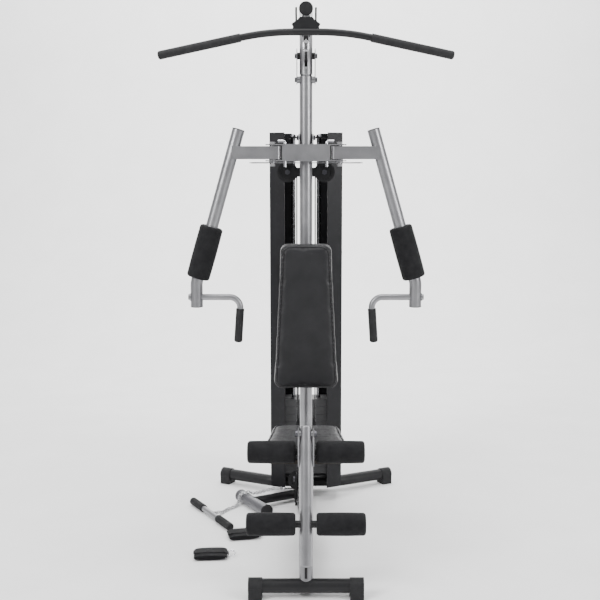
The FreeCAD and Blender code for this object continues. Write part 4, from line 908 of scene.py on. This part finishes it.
def make_fly_cable():
    """From each cam's rim over its fly pulley and down to the loop under the floating pulley."""
    node = "fly_cable"
    cord_piece("fly_cable_loop", arc(FLOATING_WHEEL, 180, 360, RIGHT, 24), "floating", node)
    for side, sign in SIDES:
        over = arc(middle_of(side + "_fly_pulley"), 90, 180, RIGHT * sign)
        cord_piece(side + "_fly_wrap", over, "frame", node)
        foot = FLOATING_WHEEL + RIGHT * sign * WRAP_R
        stretching(side + "_fly_leg", split_run(over[-1], foot), node)
        pivot = Vector((sign * ARM_PIVOT_X, PRESS_Y, over[0].z))
        rim = []
        for step in range(13):
            angle = math.radians(90 + 50 * step / 12)
            rim.append(pivot + Vector((-sign * math.cos(angle), math.sin(angle), 0)) * CAM_RIM_R)
        stretching(side + "_fly_tail", split_run(over[0], rim[0], 0.008)[:-1] + rim, node)


def make_high_cable():
    """From the lat bar's hook over the boom, down round the stack block and up over to the weights."""
    node = "high_cable"
    slope = BOOM_WHEEL - TOP_FRONT_WHEEL
    slope_angle = math.degrees(math.atan2(-slope.y, slope.z))
    span = TOP_REAR_WHEEL - STACK_WHEEL
    lean = math.degrees(math.asin(2 * WRAP_R / span.length))
    rise_angle = math.degrees(math.atan2(span.z, span.y)) - 90 + lean
    eye = Vector((0, BOOM_WHEEL.y - WRAP_R, LAT_EYE_Z))
    front = [eye + UP * EYE_TO_CORD] + arc(BOOM_WHEEL, 180, slope_angle, BACK)
    front += arc(TOP_FRONT_WHEEL, slope_angle, 0, BACK)
    cord_piece("high_cable_front", front, "frame", node)
    under = arc(STACK_WHEEL, 180, 360 + rise_angle, BACK, 24)
    cord_piece("high_cable_loop", under, "stack_block_body", node)
    stretching("high_cable_down", split_run(front[-1], under[0]), node)
    over = arc(TOP_REAR_WHEEL, 180 + rise_angle, 0, BACK)
    cord_piece("high_cable_rear", over, "frame", node)
    stretching("high_cable_up", split_run(over[0], under[-1]), node)
    stem_top = Vector((0, over[-1].y, corners_of("top_plate")[1].z))
    stretching("high_cable_weights", split_run(over[-1], stem_top), node)
    bm = bmesh.new()
    add_cord(bm, arc(eye, 0, 345, BACK, 23, EYE_R), EYE_WIRE_R, closed=True)
    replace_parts(piece("high_cable_eye", bm, ZINC, "frame"), node)


def make_low_cables():
    """The link from the floating block, the leg lever's cable and the row cable, up to the stack block."""
    node = "low_cables"
    first = Vector((0, FLOATING_WHEEL.y + WRAP_R, BASE_WHEEL_Z))
    second = Vector((0, STACK_WHEEL.y - WRAP_R, BASE_WHEEL_Z))
    link_run = arc(first, 180, 270, BACK) + arc(second, 270, 360, BACK)
    cord_piece("link_cable", link_run, "frame", node)
    stretching("link_front", split_run(link_run[0], FLOATING_WHEEL - UP * BLOCK_DROP), node)

    beside = second - RIGHT * LEVER_CABLE_OUT
    under = beside - UP * WRAP_R
    corner = Vector((beside.x, LEVER_CABLE_BEND_Y, under.z))
    lever_run = [LEVER_CABLE_EYE] + rounded_corner(LEVER_CABLE_EYE, corner, under, LEVER_CABLE_BEND_R)
    lever_run += arc(beside, 270, 360, BACK)
    cord_piece("lever_cable", lever_run, "frame", node)

    eye = LOW_WHEEL - RIGHT * ROW_EYE_OUT - UP * WRAP_R
    row_run = [eye + RIGHT * EYE_TO_CORD] + arc(LOW_WHEEL, 270, 360, RIGHT)
    cord_piece("row_cable", row_run, "frame", node)
    for name, run in (("link_rear", link_run), ("lever_rear", lever_run), ("row_rear", row_run)):
        top = Vector((run[-1].x, run[-1].y, STACK_WHEEL.z - BLOCK_DROP))
        stretching(name, split_run(run[-1], top), node)

    ferrule = [(0.0, 0.0), (0.0, 0.0045), (0.001, 0.006), (0.011, 0.006), (0.012, 0.0045), (0.012, 0.0)]
    bm = bmesh.new()
    add_cord(bm, arc(eye, 0, 345, -RIGHT, 23, EYE_R), EYE_WIRE_R, closed=True)
    add_turned(bm, ferrule, eye + RIGHT * 0.0072, eye + RIGHT * 0.0192, 28)
    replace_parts(piece("row_cable_eye", bm, ZINC, "frame"), node)


# ---------------------------------------------------------------- small fittings

def make_bumpers():
    """Rubber rings on the guide rods, under the weights."""
    tray_top = 0.1062
    bore = 0.0095
    profile = [(0.0, bore), (0.0, 0.018), (0.0012, 0.0195), (0.0042, 0.0195), (0.0054, 0.018), (0.0054, bore)]
    for side, sign in SIDES:
        foot = Vector((sign * GUIDE_ROD_X, STACK_Y, tray_top))
        turned_piece("bumper_" + side, profile, foot, foot + UP, RUBBER, "frame", 40)


def screw_head(bm, centre, outward):
    """Adds a domed screw head with a round socket."""
    radius = 0.0055
    profile = [(-0.001, 0.0), (-0.001, radius), (0.0006, radius), (0.0018, radius * 0.85),
               (0.0026, radius * 0.5), (0.0026, radius * 0.42), (0.0012, radius * 0.38), (0.0012, 0.0)]
    add_turned(bm, profile, centre, centre + outward, 24)


def make_screws():
    """Screws in the shroud's side faces and in its rear edges."""
    faces = corners_of("shroud")[1]
    bm = bmesh.new()
    for sign in (-1, 1):
        for z in (0.098, 0.62, 1.10, 1.597):
            screw_head(bm, Vector((sign * (faces.x + 0.0001), STACK_Y, z)), RIGHT * sign)
        for z in (0.14, 0.86, 1.55):
            screw_head(bm, Vector((sign * 0.120, faces.y + 0.0002, z)), BACK)
    piece("shroud_screws", bm, BLACK_ZINC, "frame")


def make_weld():
    """The rippled weld bead round the mast's foot."""
    centre = Vector((0, MAST_Y, 0.0688))
    place = facing(centre, centre + UP)
    points = []
    for step in range(96):
        angle = 2 * math.pi * step / 96
        reach = FRAME_TUBE_R + 0.0005 + 0.0005 * math.sin(step * 2.4)
        points.append(place @ Vector((reach * math.cos(angle), reach * math.sin(angle), 0)))
    bm = bmesh.new()
    add_cord(bm, points, 0.0022, 8, closed=True)
    piece("mast_foot_weld", bm, SILVER, "frame")


def make_boom_spigot():
    """The sleeve inside the joint between the mast and the boom."""
    profile = [(0.0, 0.0), (0.0, 0.0205), (0.001, 0.0222), (0.039, 0.0222), (0.040, 0.0205), (0.040, 0.0)]
    foot = Vector((0, MAST_Y, 1.821))
    turned_piece("boom_spigot", profile, foot, foot + UP, SILVER, "frame", 48)


def make_lever_stop():
    """The rubber strip on the post's foot that the leg lever comes to rest against."""
    bm = bmesh.new()
    foot = Vector((0, -0.6722, 0.074))
    add_cord(bm, [foot + Vector((0, 0.0105, 0.040)) * (step / 6) for step in range(7)], 0.0045, 14)
    piece("lever_stop", bm, RUBBER, "frame")


# ---------------------------------------------------------------- studio

def make_floor():
    """A floor that curves up into a backdrop well behind the machine."""
    bm = bmesh.new()
    profile = [(-9.0, 0.0), (3.0, 0.0)]
    for step in range(1, 13):
        angle = math.pi / 2 * step / 12
        profile.append((3.0 + 2.5 * math.sin(angle), 2.5 * (1 - math.cos(angle))))
    profile.append((5.5, 9.0))
    rows = [[bm.verts.new((x, y, z)) for x in (-14.0, 14.0)] for y, z in profile]
    for low, high in zip(rows, rows[1:]):
        bm.faces.new((low[0], low[1], high[1], high[0]))
    add_object("studio_floor", bm, paper("studio_paper"))


def add_light(name, place, aim, size, power):
    data = bpy.data.lights.new(name, "AREA")
    data.shape = "RECTANGLE"
    data.size, data.size_y = size
    data.energy = power
    light = bpy.data.objects.new(name, data)
    light.location = place
    light.rotation_euler = (Vector(aim) - Vector(place)).to_track_quat("-Z", "Y").to_euler()
    bpy.context.scene.collection.objects.link(light)


def make_studio():
    make_floor()
    add_light("key", (-3.0, -3.0, 3.2), (0, 0, 1.0), (1.6, 2.4), 210)
    add_light("fill", (3.2, -2.4, 2.4), (0, 0, 1.0), (1.6, 2.4), 130)
    add_light("overhead", (0, -0.4, 4.6), (0, 0, 0), (4.0, 3.0), 210)
    add_light("backdrop", (0, 2.6, 4.4), (0, 5.5, 1.2), (6.0, 1.2), 420)
    world = bpy.data.worlds.new("studio")
    bpy.context.scene.world = world
    world.use_nodes = True
    background = world.node_tree.nodes["Background"]
    background.inputs["Color"].default_value = (1.0, 1.0, 1.0, 1)
    background.inputs["Strength"].default_value = 0.45


def make_camera():
    data = bpy.data.cameras.new("camera")
    data.sensor_width = 36.0
    data.lens = 63.6
    data.shift_x = -0.010
    data.shift_y = 0.0158
    camera = bpy.data.objects.new("camera", data)
    camera.location = (0.0, -4.158, 1.5)
    camera.rotation_euler = (math.radians(82.0), 0, 0)
    bpy.context.scene.collection.objects.link(camera)
    bpy.context.scene.camera = camera


make_camera()
make_studio()
finish_frame()
make_seat()
make_backrest()
make_rollers()
make_arm_dressing()
make_bar_grips()
make_straps()
make_fly_cable()
make_high_cable()
make_low_cables()
make_bumpers()
make_screws()
make_weld()
make_lever_stop()
make_boom_spigot()
